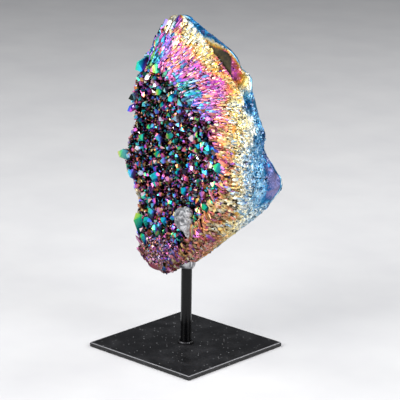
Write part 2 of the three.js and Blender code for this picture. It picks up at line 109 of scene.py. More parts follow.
# Local hollows and swellings: middle, reach and push
reliefs = [
    ((-8, -17, 200), 10, (0, 5, 0)),  # hollow under the hood
    ((0, -16, 150), 26, (0, 3, 0)),  # hollow in the face
    ((-8, -20, 74), 11, (0, -4, 0)),  # swelling over the post
    ((43, 30, 186), 5, (-5, -3, 1)),  # notch in the rim
    ((31, 30, 203), 6, (2, 2, 2)),  # knob on the rim
    ((46, 30, 166), 8, (2, 1, 0)),  # step below the notch
    ((-12, 45, 165), 16, (0, -5, 0)),  # dent in the back
]

# Crystal face: its outline in X and Z, as seen from the front
faceOutline = [
    (-60, 215), (-32, 213), (-19, 210), (-5, 206), (10, 197), (22, 187), (30, 184), (35, 177),
    (38, 169), (43, 158), (47, 149), (48, 138), (46, 129), (38, 120), (31, 111), (25, 101),
    (15, 90), (5, 78), (-4, 67), (-20, 64), (-60, 66),
]
lobeTop = 84  # the fine-grained lobe lies below this height
lowSide = 126  # below this height the broken side has long columns up to its crest


def chance(index, channel):
    # pseudo-random numbers from 0 to 1, the same in every run
    value = np.sin(np.asarray(index, float) * 12.9898 + np.asarray(channel, float) * 78.233) * 43758.5453
    return value - np.floor(value)


def smooth(low, high, value):
    # from 0 at the low value to 1 at the high one, with soft ends
    amount = np.clip((value - low) / (high - low), 0, 1)
    return amount * amount * (3 - 2 * amount)


def unit(vectors):
    return vectors / np.maximum(np.linalg.norm(vectors, axis=-1, keepdims=True), 1e-9)


def between(limits, share):
    # value between two limits, at a share from 0 to 1
    return limits[0] + share * (limits[1] - limits[0])


def wayTowards(azimuth, elevation):
    # unit vector to a place round the object. At azimuth 0 it looks at the crystal face.
    level = math.cos(elevation)
    return np.array((math.sin(azimuth) * level, -math.cos(azimuth) * level, math.sin(elevation)))


def lumpiness(points, cell):
    # value noise from -1 to 1 over cells of the given size
    scaled = points / cell
    corner = np.floor(scaled)
    inside = scaled - corner
    ease = inside * inside * (3 - 2 * inside)
    total = 0
    for step in range(8):
        offset = np.array((step & 1, step >> 1 & 1, step >> 2))
        weight = np.prod(np.where(offset == 1, ease, 1 - ease), axis=-1)
        at = corner + offset
        total = total + weight * chance(at[..., 0] + 31 * at[..., 1], at[..., 2])
    return 2 * total - 1


def railAt(name, up):
    # point of a corner rail, from 0 at the foot to 1 at the apex, as a Catmull-Rom curve
    points = railArrays[name]
    last = len(points) - 1
    place = np.clip(up, 0, 1) * last
    first = np.minimum(place.astype(int), last - 1)
    share = (place - first)[..., None]
    start, end = points[first], points[first + 1]
    before = np.where((first > 0)[..., None], points[np.maximum(first - 1, 0)], 2 * points[0] - points[1])
    after = np.where((first < last - 1)[..., None], points[np.minimum(first + 2, last)],
                     2 * points[last] - points[last - 1])
    leave, arrive = (end - before) / 2, (after - start) / 2
    square = -3 * start + 3 * end - 2 * leave - arrive
    cube = 2 * start - 2 * end + leave + arrive
    return start + leave * share + square * share ** 2 + cube * share ** 3


def stonePoint(name, along, up):
    # point of the stone's surface: along a stretch from 0 to 1, and up the stone from 0 to 1
    stretch = stretches[name]
    start, end = railAt(stretch["from"], up), railAt(stretch["to"], up)
    outward = unit(np.stack([end[..., 1] - start[..., 1], start[..., 0] - end[..., 0], 0 * up], -1))
    share = along[..., None]
    width = np.linalg.norm(end - start, axis=-1, keepdims=True)
    point = start + (end - start) * share
    point = point + outward * stretch["bulge"] * 4 * share * (1 - share) * np.minimum(1, width / 40)
    if name == "trough":
        lowEnd = smooth(recess["from"], recess["from"] + recess["fadeIn"], point[..., 2])
        highEnd = 1 - smooth(recess["to"] - recess["fadeOut"], recess["to"], point[..., 2])
        dip = recess["depth"] * lowEnd * highEnd * smooth(0, 0.25, along) * (1 - smooth(0.5, 0.85, along))
        point = point - outward * (dip * (1 - recess["down"]))[..., None]
        point[..., 2] -= dip * recess["down"]
    for middle, reach, push in reliefs:
        away = np.linalg.norm(point - np.array(middle), axis=-1, keepdims=True) / reach
        point = point + np.array(push) * np.exp(-away * away)
    rough = stone["coarseStand"] * lumpiness(point, stone["coarseCell"])
    rough = rough + stone["fineStand"] * lumpiness(point, stone["fineCell"])
    return point + outward * rough[..., None]


def surfaceFrames(name, along, up):
    # points of a stretch with the outward normal and the growth direction laid flat on the surface
    stepUp, stepAlong = 0.02, 0.05
    point = stonePoint(name, along, up)
    above, below = np.minimum(1, up + stepUp), np.maximum(0, up - stepUp)
    ahead, behind = np.minimum(1, along + stepAlong), np.maximum(0, along - stepAlong)
    upward = stonePoint(name, along, above) - stonePoint(name, along, below)
    onward = stonePoint(name, ahead, up) - stonePoint(name, behind, up)
    normal = unit(np.cross(onward, upward))
    growth = stone["growthCentre"] - point
    growth[..., 2] += stone["steeper"] * np.clip(stone["steeperBelow"] - point[..., 2], 0, 60)
    growth = unit(growth)
    flat = unit(growth - normal * np.sum(growth * normal, -1, keepdims=True))
    return point, normal, flat


def insideOutline(x, z):
    # whether places in X and Z lie in the outline of the crystal face
    inside = np.zeros(np.shape(x), bool)
    for (ax, az), (bx, bz) in zip(faceOutline, faceOutline[1:] + faceOutline[:1]):
        crosses = ((az > z) != (bz > z)) & (x < ax + (z - az) / ((bz - az) or 1) * (bx - ax))
        inside ^= crosses
    return inside


def facePoint(x, z):
    # points of the crystal face at places in X and Z, found by halving the height
    low, high = np.zeros_like(x), np.ones_like(x)
    for _ in range(16):
        up = (low + high) / 2
        start, end = railAt("left", up), railAt("ridge", up)
        along = np.clip((x - start[..., 0]) / (end[..., 0] - start[..., 0]), 0, 1)
        below = stonePoint("front", along, up)[..., 2] < z
        low, high = np.where(below, up, low), np.where(below, high, up)
    return stonePoint("front", along, up)


def growthAngles(points):
    # places as seen from the growth centre, in mm at a distance of 100 mm
    away = points - stone["growthCentre"]
    far = np.linalg.norm(away, axis=-1)
    across = np.arctan2(away[..., 0], away[..., 1]) * 100
    upward = np.arcsin(away[..., 2] / far) * 100
    return np.stack([across, upward], -1), far


def cellNoise(places, size):
    # nearest of the scattered cell middles: a random number for the cell, and the gap to the next cell
    scaled = places / size
    corner = np.floor(scaled)
    nearest = np.full(scaled.shape[:-1], 9.0)
    second = nearest.copy()
    owner = np.zeros_like(nearest)
    for dx in (-1, 0, 1):
        for dy in (-1, 0, 1):
            cell = corner + (dx, dy)
            column, row = cell[..., 0], cell[..., 1]
            middle = cell + np.stack([chance(column, row + 5), chance(column, row + 9)], -1)
            away = np.linalg.norm(scaled - middle, axis=-1)
            closer = away < nearest
            second = np.where(closer, nearest, np.minimum(second, away))
            owner = np.where(closer, chance(column + 17 * row, 3), owner)
            nearest = np.where(closer, away, nearest)
    return owner, second - nearest


# Film on the quartz from its thinnest to its thickest, as place and sRGB colour
filmColours = [
    (0.00, (158, 150, 205)),  # lavender
    (0.03, (140, 140, 200)),  # lavender blue
    (0.07, (16, 84, 150)),  # deep blue
    (0.11, (30, 140, 200)),  # bright blue
    (0.16, (140, 196, 224)),  # pale blue
    (0.21, (234, 236, 224)),  # white
    (0.27, (244, 226, 152)),  # pale yellow
    (0.33, (236, 186, 74)),  # gold
    (0.39, (230, 118, 56)),  # orange
    (0.45, (238, 112, 150)),  # rose
    (0.51, (222, 84, 196)),  # magenta
    (0.56, (136, 78, 214)),  # violet
    (0.60, (40, 76, 216)),  # blue
    (0.65, (26, 170, 232)),  # cyan
    (0.70, (18, 190, 214)),  # cyan teal
    (0.77, (12, 192, 176)),  # teal
    (0.84, (50, 192, 98)),  # green
    (0.90, (178, 204, 78)),  # yellow-green
    (0.95, (244, 128, 180)),  # pink
    (1.00, (206, 50, 50)),  # red
]

# Look of the broken side at some heights. Each entry holds the place, from 0 at the ridge over 1 at the crest
# to 2 at the rim, then the film and how light the quartz is.
sideBands = {
    62: [(0, 0.46, 0.6), (0.7, 0.42, 0.7), (1.3, 0.44, 0.8), (2, 0.42, 0.8)],
    86: [(0, 0.42, 0.7), (0.5, 0.37, 0.8), (1, 0.41, 0.85), (1.5, 0.36, 0.9), (2, 0.26, 0.9)],
    100: [
        (0, 0.36, 0.85), (0.5, 0.33, 0.95), (0.8, 0.31, 1), (1, 0.26, 1.05), (1.5, 0.21, 1.1), (2, 0.16, 1)],
    112: [
        (0, 0.37, 0.85), (0.5, 0.33, 0.95), (0.8, 0.27, 1.1), (1, 0.22, 1.2), (1.4, 0.17, 1.2),
        (2, 0.14, 1.1)],
    122: [
        (0, 0.39, 0.95), (0.3, 0.32, 1.05), (0.6, 0.26, 1.15), (0.85, 0.2, 1.2), (1.1, 0.15, 1.2),
        (1.4, 0.12, 1.2), (1.6, 0.04, 1), (1.88, 0, 1), (1.95, 0.18, 1.2), (2, 0.18, 1.2)],
    136: [
        (0, 0.39, 1), (0.3, 0.3, 1.1), (0.55, 0.25, 1.2), (0.75, 0.18, 1.2), (1.1, 0.13, 1.2),
        (1.4, 0.12, 1.2), (1.5, 0.03, 1), (1.88, 0, 1.05), (1.95, 0.18, 1.2), (2, 0.18, 1.2)],
    147: [
        (0, 0.43, 1), (0.15, 0.33, 1.1), (0.45, 0.26, 1.2), (0.65, 0.19, 1.2), (1, 0.14, 1.2),
        (1.3, 0.12, 1.2), (1.7, 0.11, 1.15), (1.9, 0.04, 1), (2, 0.02, 1)],
    157: [
        (0, 0.45, 1), (0.17, 0.39, 1.1), (0.3, 0.3, 1.15), (0.5, 0.25, 1.2), (0.7, 0.22, 1.2),
        (0.95, 0.2, 1.2), (1.3, 0.15, 1.2), (1.6, 0.12, 1.15), (2, 0.11, 1.1)],
    163: [
        (0, 0.43, 1.05), (0.1, 0.39, 1.1), (0.3, 0.32, 1.15), (0.5, 0.27, 1.15), (0.8, 0.23, 1.2),
        (1.14, 0.21, 1.15), (1.25, 0.08, 0.6), (1.4, 0.12, 1.1), (2, 0.11, 1)],
    168: [
        (0, 0.44, 1.05), (0.1, 0.4, 1.1), (0.3, 0.35, 1.15), (0.5, 0.29, 1.15), (0.8, 0.24, 1.2),
        (1, 0.22, 1.2), (1.4, 0.21, 1.15), (1.6, 0.14, 1.1), (2, 0.11, 1)],
    176: [
        (0, 0.51, 1), (0.1, 0.47, 1.05), (0.26, 0.42, 1.1), (0.36, 0.34, 1.15), (0.5, 0.31, 1.15),
        (0.7, 0.27, 1.15), (1, 0.24, 1.2), (1.4, 0.22, 1.2), (1.6, 0.15, 1.1), (2, 0.11, 1)],
    186: [
        (0, 0.56, 0.95), (0.1, 0.52, 1), (0.25, 0.5, 1.1), (0.4, 0.43, 1.1), (0.58, 0.36, 1.15),
        (0.78, 0.27, 1.15), (0.95, 0.22, 1), (1.1, 0.14, 0.7), (1.4, 0.08, 0.5), (2, 0.08, 0.8)],
    194: [
        (0, 0.74, 0.95), (0.12, 0.68, 1), (0.2, 0.6, 1), (0.28, 0.47, 1.1), (0.45, 0.49, 1.1),
        (0.62, 0.53, 1.05), (0.76, 0.42, 1.1), (0.95, 0.25, 1.15), (1.1, 0.2, 1), (1.5, 0.17, 1),
        (1.8, 0.13, 0.9), (2, 0.1, 0.8)],
    203: [
        (0, 0.74, 0.9), (0.14, 0.7, 0.95), (0.22, 0.6, 0.95), (0.3, 0.42, 1.1), (0.45, 0.47, 1.1),
        (0.6, 0.5, 1.1), (0.75, 0.47, 1.1), (0.85, 0.36, 1.15), (0.95, 0.29, 1.15), (1.05, 0.5, 0.5),
        (1.5, 0.53, 0.7), (1.65, 0.47, 0.9), (1.78, 0.32, 1.05), (1.88, 0.22, 1.05), (2, 0.14, 0.95)],
    213: [
        (0, 0.68, 0.9), (0.12, 0.62, 0.95), (0.2, 0.5, 1.05), (0.4, 0.5, 1.1), (0.5, 0.54, 1),
        (0.6, 0.44, 1.1), (0.7, 0.33, 1.15), (0.83, 0.3, 1.15), (0.92, 0.42, 1.05), (1, 0.48, 0.9),
        (1.1, 0.5, 0.5), (1.66, 0.5, 0.7), (1.78, 0.44, 0.9), (1.88, 0.31, 1.05), (2, 0.24, 1)],
    223: [
        (0, 0.66, 0.9), (0.15, 0.56, 0.95), (0.3, 0.5, 1.1), (0.45, 0.47, 1.1), (0.6, 0.37, 1.15),
        (0.74, 0.31, 1.15), (0.9, 0.29, 1.1), (1, 0.32, 0.8), (1.1, 0.42, 0.6), (1.85, 0.42, 0.85),
        (1.93, 0.35, 1), (2, 0.28, 1)],
    228: [
        (0, 0.6, 0.9), (0.15, 0.52, 1.05), (0.3, 0.46, 1.1), (0.45, 0.38, 1.1), (0.6, 0.3, 1.15),
        (0.85, 0.26, 1.15), (0.98, 0.24, 1.15), (1.05, 0.42, 0.7), (1.3, 0.36, 0.95), (1.55, 0.28, 1.05),
        (1.75, 0.22, 1), (1.85, 0.1, 0.6), (2, 0.08, 0.5)],
    233: [
        (0, 0.62, 0.85), (0.2, 0.5, 1), (0.4, 0.4, 1.1), (0.55, 0.3, 1.15), (0.8, 0.24, 1.2),
        (0.95, 0.21, 1.2), (1.05, 0.12, 0.9), (1.2, 0.07, 0.55), (2, 0.07, 0.5)],
    240: [
        (0, 0.58, 0.6), (0.2, 0.52, 0.8), (0.4, 0.32, 1.1), (0.6, 0.25, 1.2), (0.9, 0.22, 1.2),
        (1, 0.18, 1.1), (1.08, 0.11, 1.1), (2, 0.11, 1)],
    247: [(0, 0.3, 0.9), (0.5, 0.22, 1.1), (1, 0.17, 1), (1.1, 0.11, 1), (2, 0.1, 1)],
}

# How far the dull floor of the recess reaches, as height and share of the way from crest to rim
recessReach = [
    (200, 0), (206, 0.54), (213, 0.69), (219, 0.84), (222, 0.86), (224, 0.73), (226, 0.49), (228, 0),
]


def bandAt(t, height):
    # film and lightness of the broken side
    levels = sorted(sideBands)
    film, light = np.zeros_like(t), np.zeros_like(t)
    height = np.clip(height, levels[0], levels[-1] - 1e-3)
    for low, high in zip(levels[:-1], levels[1:]):
        share = (height - low) / (high - low)
        here = (share >= 0) & (share < 1)
        for level, weight in ((low, 1 - share), (high, share)):
            places, films, lights = np.array(sideBands[level]).T
            film += here * weight * np.interp(t, places, films)
            light += here * weight * np.interp(t, places, lights)
    return film, light


# Film and lightness across the front above the crystal face, from its left edge to the ridge
hoodBands = [(0, 0.76, 0.8), (0.3, 0.71, 0.85), (0.5, 0.66, 0.85), (0.66, 0.53, 0.95), (1, 0.48, 1.1)]


# Noise that moves the bands of film, as strength and cell in mm
bandNoise = {"wide": (0.16, 9), "fine": (0.08, 4), "height": (4, 12), "troughHeight": (1.5, 12)}

# Film and lightness of the outer skin, and the noise in them
skinLook = {
    "film": 0.105, "light": 0.9, "wideFilm": (0.035, 17), "fineFilm": (0.025, 6), "lightNoise": (0.25, 8),
}

# On the front: where the ridge's bands end, by height and share of the way from the left edge, the heights of
# the violet top and of its pale tip, and their films and lightness
frontBands = {
    "borderHeights": (90, 115, 150), "borders": (0.55, 0.7, 0.85), "borderEnds": (195, 205),
    "top": (230, 233), "topLeft": (233, 237), "topFilm": 0.55, "topDim": 0.4,
    "tip": (235, 239), "tipFilm": 0.22, "tipLight": 0.9,
    "lobeBlend": 6, "lobeFilm": 0.46, "lobeDim": 0.15,
}


def noiseOf(setting, points, shift=0):
    strength, cell = setting
    return strength * lumpiness(points + shift, cell)


def surfaceLook(name, along, points):
    # film, lightness and bareness of the stone at points of a stretch. Bare is the dull recess.
    warp = noiseOf(bandNoise["wide"], points) + noiseOf(bandNoise["fine"], points, 50)
    z = points[..., 2]
    height = z + noiseOf(bandNoise["troughHeight" if name == "trough" else "height"], points, 90)
    bare = np.zeros_like(along)
    if name == "side":
        film, light = bandAt(along + warp * (1 - 0.7 * smooth(0.7, 1, along)), height)
    elif name == "trough":
        film, light = bandAt(1 + np.clip(along + 0.3 * warp, 0, 1), height)
        heights, reaches = np.array(recessReach, float).T
        reach = np.interp(z + 1.5 * warp, heights, reaches)
        inside = 1 - smooth(reach - 0.03, reach + 0.03, along)
        bare = smooth(-0.02, 0.03, along) * inside * (reach > 0.01)
    elif name == "leftSide":
        film, light = bandAt(np.clip(2 - 2 * along + warp, 0, 2), height)
    elif name == "front":
        film, light = frontLook(along, warp, z, height)
    else:
        patches = noiseOf(skinLook["wideFilm"], points) + noiseOf(skinLook["fineFilm"], points)
        film = skinLook["film"] + patches
        light = skinLook["light"] + noiseOf(skinLook["lightNoise"], points, 30)
    return film, light, bare


def frontLook(along, warp, z, height):
    # the front above the crystal face, beside the ridge, on its violet top with the pale tip, and the lobe
    places, films, lights = np.array(hoodBands).T
    film, light = np.interp(along + 0.7 * warp, places, films), np.interp(along, places, lights)
    ridgeFilm, ridgeLight = bandAt(np.zeros_like(along), height)
    border = np.interp(z, frontBands["borderHeights"], frontBands["borders"])
    belowHood = 1 - smooth(*frontBands["borderEnds"], z)
    nearRidge = smooth(border - 0.1, border + 0.05, along + 0.4 * warp) * belowHood
    film, light = film + nearRidge * (ridgeFilm - film), light + nearRidge * (ridgeLight - light)
    # the violet starts higher at the left edge
    reached = np.maximum(smooth(0.05, 0.25, along), smooth(*frontBands["topLeft"], z))
    top = smooth(*frontBands["top"], z) * reached
    film, light = film + top * (frontBands["topFilm"] - film), light - frontBands["topDim"] * top
    tip = smooth(*frontBands["tip"], z + 2 * along)
    film, light = film + tip * (frontBands["tipFilm"] - film), light + tip * (frontBands["tipLight"] - light)
    lobe = 1 - smooth(lobeTop - frontBands["lobeBlend"], lobeTop + frontBands["lobeBlend"], z)
    film = film + lobe * (frontBands["lobeFilm"] + 0.5 * warp - film)
    return film, light - frontBands["lobeDim"] * lobe


view = {
    "azimuth": 42.622, "elevation": 16.108, "roll": 0.8, "distance": 1500,
    "focal": 2071.52, "frame": 400, "sensor": 36, "aimAcross": 9.033, "aimHeight": 112.872,
}


def viewAxes():
    # the camera's place in mm, then the ways back, right and up from it
    azimuth, elevation, roll = (math.radians(view[key]) for key in ("azimuth", "elevation", "roll"))
    back = wayTowards(azimuth, elevation)
    level = np.array((math.cos(azimuth), math.sin(azimuth), 0))
    upright = np.cross(back, level)
    right = level * math.cos(roll) + upright * math.sin(roll)
    up = upright * math.cos(roll) - level * math.sin(roll)
    place = level * view["aimAcross"] + np.array((0, 0, view["aimHeight"])) + back * view["distance"]
    return place, back, right, up


levelAcross = viewAxes()[2]


def srgb(colour):
    # from 0-255 sRGB to the linear colour that a shader takes
    return tuple((c / 255) ** 2.2 for c in colour) + (1,)


class Wire:
    # one output socket, so that sums of sockets read as sums
    def __init__(self, sheet, socket):
        self.sheet = sheet
        self.socket = socket

    def combined(self, operation, other=None, swapped=False):
        first, second = (other, self) if swapped else (self, other)
        return self.sheet.node("ShaderNodeMath", {"operation": operation}, [first, second])

    def __add__(self, other):
        return self.combined("ADD", other)

    def __sub__(self, other):
        return self.combined("SUBTRACT", other)

    def __rsub__(self, other):
        return self.combined("SUBTRACT", other, swapped=True)

    def __mul__(self, other):
        return self.combined("MULTIPLY", other)

    def clamped(self):
        return self.sheet.node("ShaderNodeClamp", {}, [self])


class Sheet:
    # the node tree of one material
    def __init__(self, name):
        self.material = bpy.data.materials.new(name)
        self.material.use_nodes = True
        self.nodes = self.material.node_tree.nodes
        self.links = self.material.node_tree.links
        self.shader = self.nodes["Principled BSDF"]

    def put(self, socket, value):
        if isinstance(value, Wire):
            self.links.new(value.socket, socket)
        elif value is not None:
            socket.default_value = value

    def node(self, kind, settings, inputs, output=0):
        made = self.nodes.new(kind)
        stops = settings.pop("stops", None)
        for key, value in settings.items():
            setattr(made, key, value)
        if stops:
            fillRamp(made.color_ramp, stops)
        pairs = inputs.items() if isinstance(inputs, dict) else enumerate(inputs)
        for key, value in pairs:
            self.put(made.inputs[key], value)
        return Wire(self, made.outputs[output])

    def attribute(self, name):
        return self.node("ShaderNodeAttribute", {"attribute_name": name}, {}, "Fac")

    def place(self):
        return self.node("ShaderNodeTexCoord", {}, {}, "Object")

    def noise(self, size, detail=3, roughness=0.5):
        # fractal noise whose lumps are about size mm
        inputs = {"Vector": self.place(), "Scale": 1 / (size * mm), "Detail": detail, "Roughness": roughness}
        return self.node("ShaderNodeTexNoise", {}, inputs)

    def ramp(self, amount, stops):
        return self.node("ShaderNodeValToRGB", {"stops": stops}, [amount], "Color")

    def blend(self, amount, first, second, mode="MIX"):
        made = self.nodes.new("ShaderNodeMix")
        made.data_type = "RGBA"
        made.blend_type = mode
        colourInputs = [socket for socket in made.inputs if socket.type == "RGBA"]
        self.put(made.inputs[0], amount)
        self.put(colourInputs[0], first)
        self.put(colourInputs[1], second)
        return Wire(self, next(socket for socket in made.outputs if socket.type == "RGBA"))

    def dimmed(self, colour, light):
        grey = self.node("ShaderNodeCombineXYZ", {}, [light, light, light])
        return self.blend(1, colour, grey, "MULTIPLY")

    def bump(self, height, strength, distance):
        inputs = {"Strength": strength, "Distance": distance * mm, "Height": height}
        return self.node("ShaderNodeBump", {}, inputs)

    def finish(self, sockets):
        for name, value in sockets.items():
            self.put(self.shader.inputs[name], value)
        return self.material


def fillRamp(ramp, stops):
    while len(ramp.elements) > 1:
        ramp.elements.remove(ramp.elements[-1])
    ramp.elements[0].position, ramp.elements[0].color = stops[0]
    for position, colour in stops[1:]:
        ramp.elements.new(position).color = colour


filmStops = [(place, srgb(colour)) for place, colour in filmColours]


# Films of the crystals, the columns and the grains. Spread and grain are those of the fine shifts of colour.
crystalLook = {
    "name": "crystal_film", "spread": 0.02, "grain": 3, "roughness": 0.18, "metallic": 0.45, "coat": 0.3,
    "bump": 0.03,
}
columnLook = {
    "name": "column_film", "spread": 0.03, "grain": 2, "roughness": 0.26, "metallic": 0.4, "coat": 0.2,
    "bump": 0.06,
}
grainLook = {
    "name": "grain_film", "spread": 0.03, "grain": 2, "roughness": 0.32, "metallic": 0.35, "coat": 0.1,
    "bump": 0.06,
}


def auraFilm(settings):
    # metallic rainbow film on quartz: colour by the piece's own film attribute, with fine shifts.
    # Where the light attribute holds painted shade the film mirrors only dark, so the shine goes too.
    sheet = Sheet(settings["name"])
    film = sheet.attribute("film")
    light = sheet.attribute("light")
    shift = (sheet.noise(settings["grain"], 4, 0.6) - 0.5) * (2 * settings["spread"])
    colour = sheet.ramp((film + shift).clamped(), filmStops)
    # pale whitens the film: partly pale quartz, partly painted white highlights on single facets
    colour = sheet.blend(sheet.attribute("pale"), colour, srgb((240, 234, 240)))
    shine = (light * 1.5 - 0.15).clamped()
    return sheet.finish({
        "Base Color": sheet.dimmed(colour, light),
        "Roughness": (sheet.noise(0.5, 2, 0.5) * 0.16 + (settings["roughness"] - 0.08)).clamped(),
        "Metallic": 1 - shine * (1 - settings["metallic"]),
        "Coat Weight": shine * settings["coat"],
        "Normal": sheet.bump(sheet.noise(1.2, 3, 0.6), 0.5, settings["bump"]),
    })


def stoneFilm():
    # the stone itself: the film in its bands, painted shade between the columns, dull in the recess
    sheet = Sheet("stone_film")
    bare = sheet.attribute("bare")
    shift = (sheet.noise(1.3, 4, 0.65) - 0.5) * 0.14
    colour = sheet.ramp((sheet.attribute("film") + shift).clamped(), filmStops)
    colour = sheet.dimmed(colour, sheet.attribute("light"))
    dullTone = sheet.ramp(sheet.noise(9, 4, 0.6), [
        (0.3, srgb((40, 44, 44))), (0.5, srgb((74, 72, 56))), (0.7, srgb((104, 96, 66)))])
    return sheet.finish({
        "Base Color": sheet.blend(bare, colour, dullTone),
        "Roughness": (sheet.noise(0.8, 3) * 0.25 + 0.18 + bare * 0.08).clamped(),
        "Metallic": 0.75,
        "Normal": sheet.bump(sheet.noise(0.9, 4, 0.6), 0.6, 0.25),
    })


def deselect():
    if bpy.context.mode != "OBJECT":
        bpy.ops.object.mode_set(mode="OBJECT")
    bpy.ops.object.select_all(action="DESELECT")


def keepPlace(piece):
    # the finished piece's object sits at the origin, with its place in its mesh
    deselect()
    piece.select_set(True)
    bpy.context.view_layer.objects.active = piece
    bpy.ops.object.transform_apply(location=True, rotation=True, scale=True)


def dress(piece, node, material):
    piece.data.materials.clear()
    piece.data.materials.append(material)
    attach(piece, "root")
    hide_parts(node)


def setAttribute(mesh, name, domain, values):
    # one number for each point, corner or face of the mesh, which the materials read
    layer = mesh.attributes.get(name) or mesh.attributes.new(name, "FLOAT", domain)
    layer.data.foreach_set("value", np.ascontiguousarray(values, np.float32))


def closeEnds(place, share):
    # the lowest and the highest rows are drawn together to the foot and the apex
    rows, footShare, apexShare = stone["rows"], stone["footRows"], stone["apexRows"]
    isLow, isHigh = share < footShare, share > 1 - apexShare
    run = np.where(isLow, share / footShare, np.where(isHigh, (1 - share) / apexShare, 1))
    closing = np.sqrt(np.clip(run * (2 - run), 0, 1))[:, None, None]
    lowerHalf = (share < 0.5)[:, None, None]
    ends = np.where(lowerHalf, np.array(stone["foot"], float), np.array(stone["apex"], float))
    rim = np.where(lowerHalf, place[int(footShare * rows)], place[rows - int(apexShare * rows)])
    drawn = ends + (rim - ends) * closing
    drawn[..., 2] = ends[..., 2] + (rim[..., 2] - ends[..., 2]) * run[:, None]
    return np.where((isLow | isHigh)[:, None, None], drawn, place)


def stoneCore(material):
    # the stone as one closed surface: a grid wrapped round the six stretches, its ends drawn together
    columns = sum(stretch["columns"] for stretch in stretches.values())
    rows, footShare, apexShare = stone["rows"], stone["footRows"], stone["apexRows"]
    deselect()
    bpy.ops.mesh.primitive_grid_add(x_subdivisions=columns, y_subdivisions=rows, size=1)
    core = bpy.context.object
    core.name = core.data.name = "stone_core"
    mesh = core.data
    corners = np.empty(len(mesh.vertices) * 3, np.float32)
    mesh.vertices.foreach_get("co", corners)
    corners = corners.reshape(-1, 3)
    column = np.rint((corners[:, 0] + 0.5) * columns).astype(int)
    row = np.rint((corners[:, 1] + 0.5) * rows).astype(int)

    share = np.arange(rows + 1) / rows
    up = np.clip((share - footShare) / (1 - footShare - apexShare), 0, 1)
    parts = []
    for number, (name, stretch) in enumerate(stretches.items()):
        along, level = np.meshgrid(np.arange(stretch["columns"]) / stretch["columns"], up)
        point = stonePoint(name, along, level)
        film, light, bare = surfaceLook(name, along, point)
        rib, kind = np.full_like(film, stretch["ribs"]), np.full_like(film, number)
        parts.append((point, film, light, bare, rib, kind, along))
    place, film, light, bare, rib, kind, along = (np.concatenate(values, 1) for values in zip(*parts))
    isOn = {name: kind == number for number, name in enumerate(stretches)}

    normal = unit(np.cross(np.roll(place, -1, 1) - np.roll(place, 1, 1), np.gradient(place, axis=0)))
    angles, far = growthAngles(place)
    face = isOn["front"] & insideOutline(place[..., 0], place[..., 2])
    owner, gap = cellNoise(angles, stone["blockWidth"])
    block = np.floor(far / stone["blockLength"] + 3 * owner)
    height = chance(block, np.floor(owner * 997)) * 2 - 1
    blocks = rib * (height * stone["blockStand"] - stone["blockGap"] * np.exp(-gap * 5)) * (1 - bare)
    rind = np.where(rib == 0, 0.5 * lumpiness(place, 3.2) + 0.3 * lumpiness(place + 7, 1.7), 0)
    place = place + normal * (blocks + rind - stone["faceSink"] * face)[..., None]

    # painted shade: under the columns the ground is darkened, and the crystal face's ground is painted near
    # black.
    # Blocks that stand out are lighter than sunk ones.
    paintedShadeUnderColumns = np.where(isOn["side"], 0.5 + 0.35 * smooth(0.5, 0.9, along), 0.5)
    paintedShade = np.where(isOn["front"] | isOn["side"] | isOn["leftSide"], paintedShadeUnderColumns, 1)
    light = np.where(face, stone["faceGroundShade"], light * paintedShade * (0.75 + 0.25 * height * (rib > 0)))
    film = np.where(face, stone["faceFilm"] + 0.06 * height, film + 0.04 * height * (rib > 0))
    place = closeEnds(place, share)

    wrapped = column % columns
    mesh.vertices.foreach_set("co", (place[row, wrapped] * mm).astype(np.float32).ravel())
    setAttribute(mesh, "film", "POINT", film[row, wrapped])
    setAttribute(mesh, "light", "POINT", np.clip(light[row, wrapped], 0.03, 1.2))
    setAttribute(mesh, "bare", "POINT", bare[row, wrapped])
    mesh.update()
    bpy.ops.object.mode_set(mode="EDIT")
    bpy.ops.mesh.select_all(action="SELECT")
    bpy.ops.mesh.remove_doubles(threshold=0.002 * mm)
    bpy.ops.mesh.normals_make_consistent(inside=False)
    bpy.ops.object.mode_set(mode="OBJECT")
    bpy.ops.object.shade_smooth()
    dress(core, "amethyst_cluster", material)
    print("stone core", len(mesh.polygons), "faces")


def readShape(piece):
    # vertices and faces of a modelled shape, which is then taken away
    mesh = piece.data
    verts = np.array([vertex.co for vertex in mesh.vertices], float)
    normals = np.array([face.normal for face in mesh.polygons], float)
    loops = np.concatenate([np.array(face.vertices) for face in mesh.polygons])
    totals = np.array([face.loop_total for face in mesh.polygons])
    shape = {"verts": verts, "loops": loops, "totals": totals, "normals": normals, "heights": verts[loops, 2]}
    bpy.data.objects.remove(piece)
    return shape


# Quartz points as they are copied, with a radius of 1: the rod before its end is cut, how far it reaches up
# and down, and how far its tip faces lean from level
quartz = {"radius": 1.12, "reach": 3, "tipTilt": math.radians(50)}

# Kinds of them: how uneven the tip faces are, the distance of every second one and of the others, and the
# width of every second side
pointKinds = {
    "chisel": {"evenness": 0.4, "large": 0.62, "small": 1.5, "narrow": 0.62},
    "blunt": {"evenness": 0.3, "large": 0.86, "small": 1.12, "narrow": 0.85},
    "rod": {"evenness": 0.6, "large": 0.86, "small": 1.12, "narrow": 0.85},
}


def cutOff(place, way):
    # in edit mode, takes away what lies past a plane
    bpy.ops.mesh.select_all(action="SELECT")
    bpy.ops.mesh.bisect(plane_co=place, plane_no=way, use_fill=True, clear_outer=True)


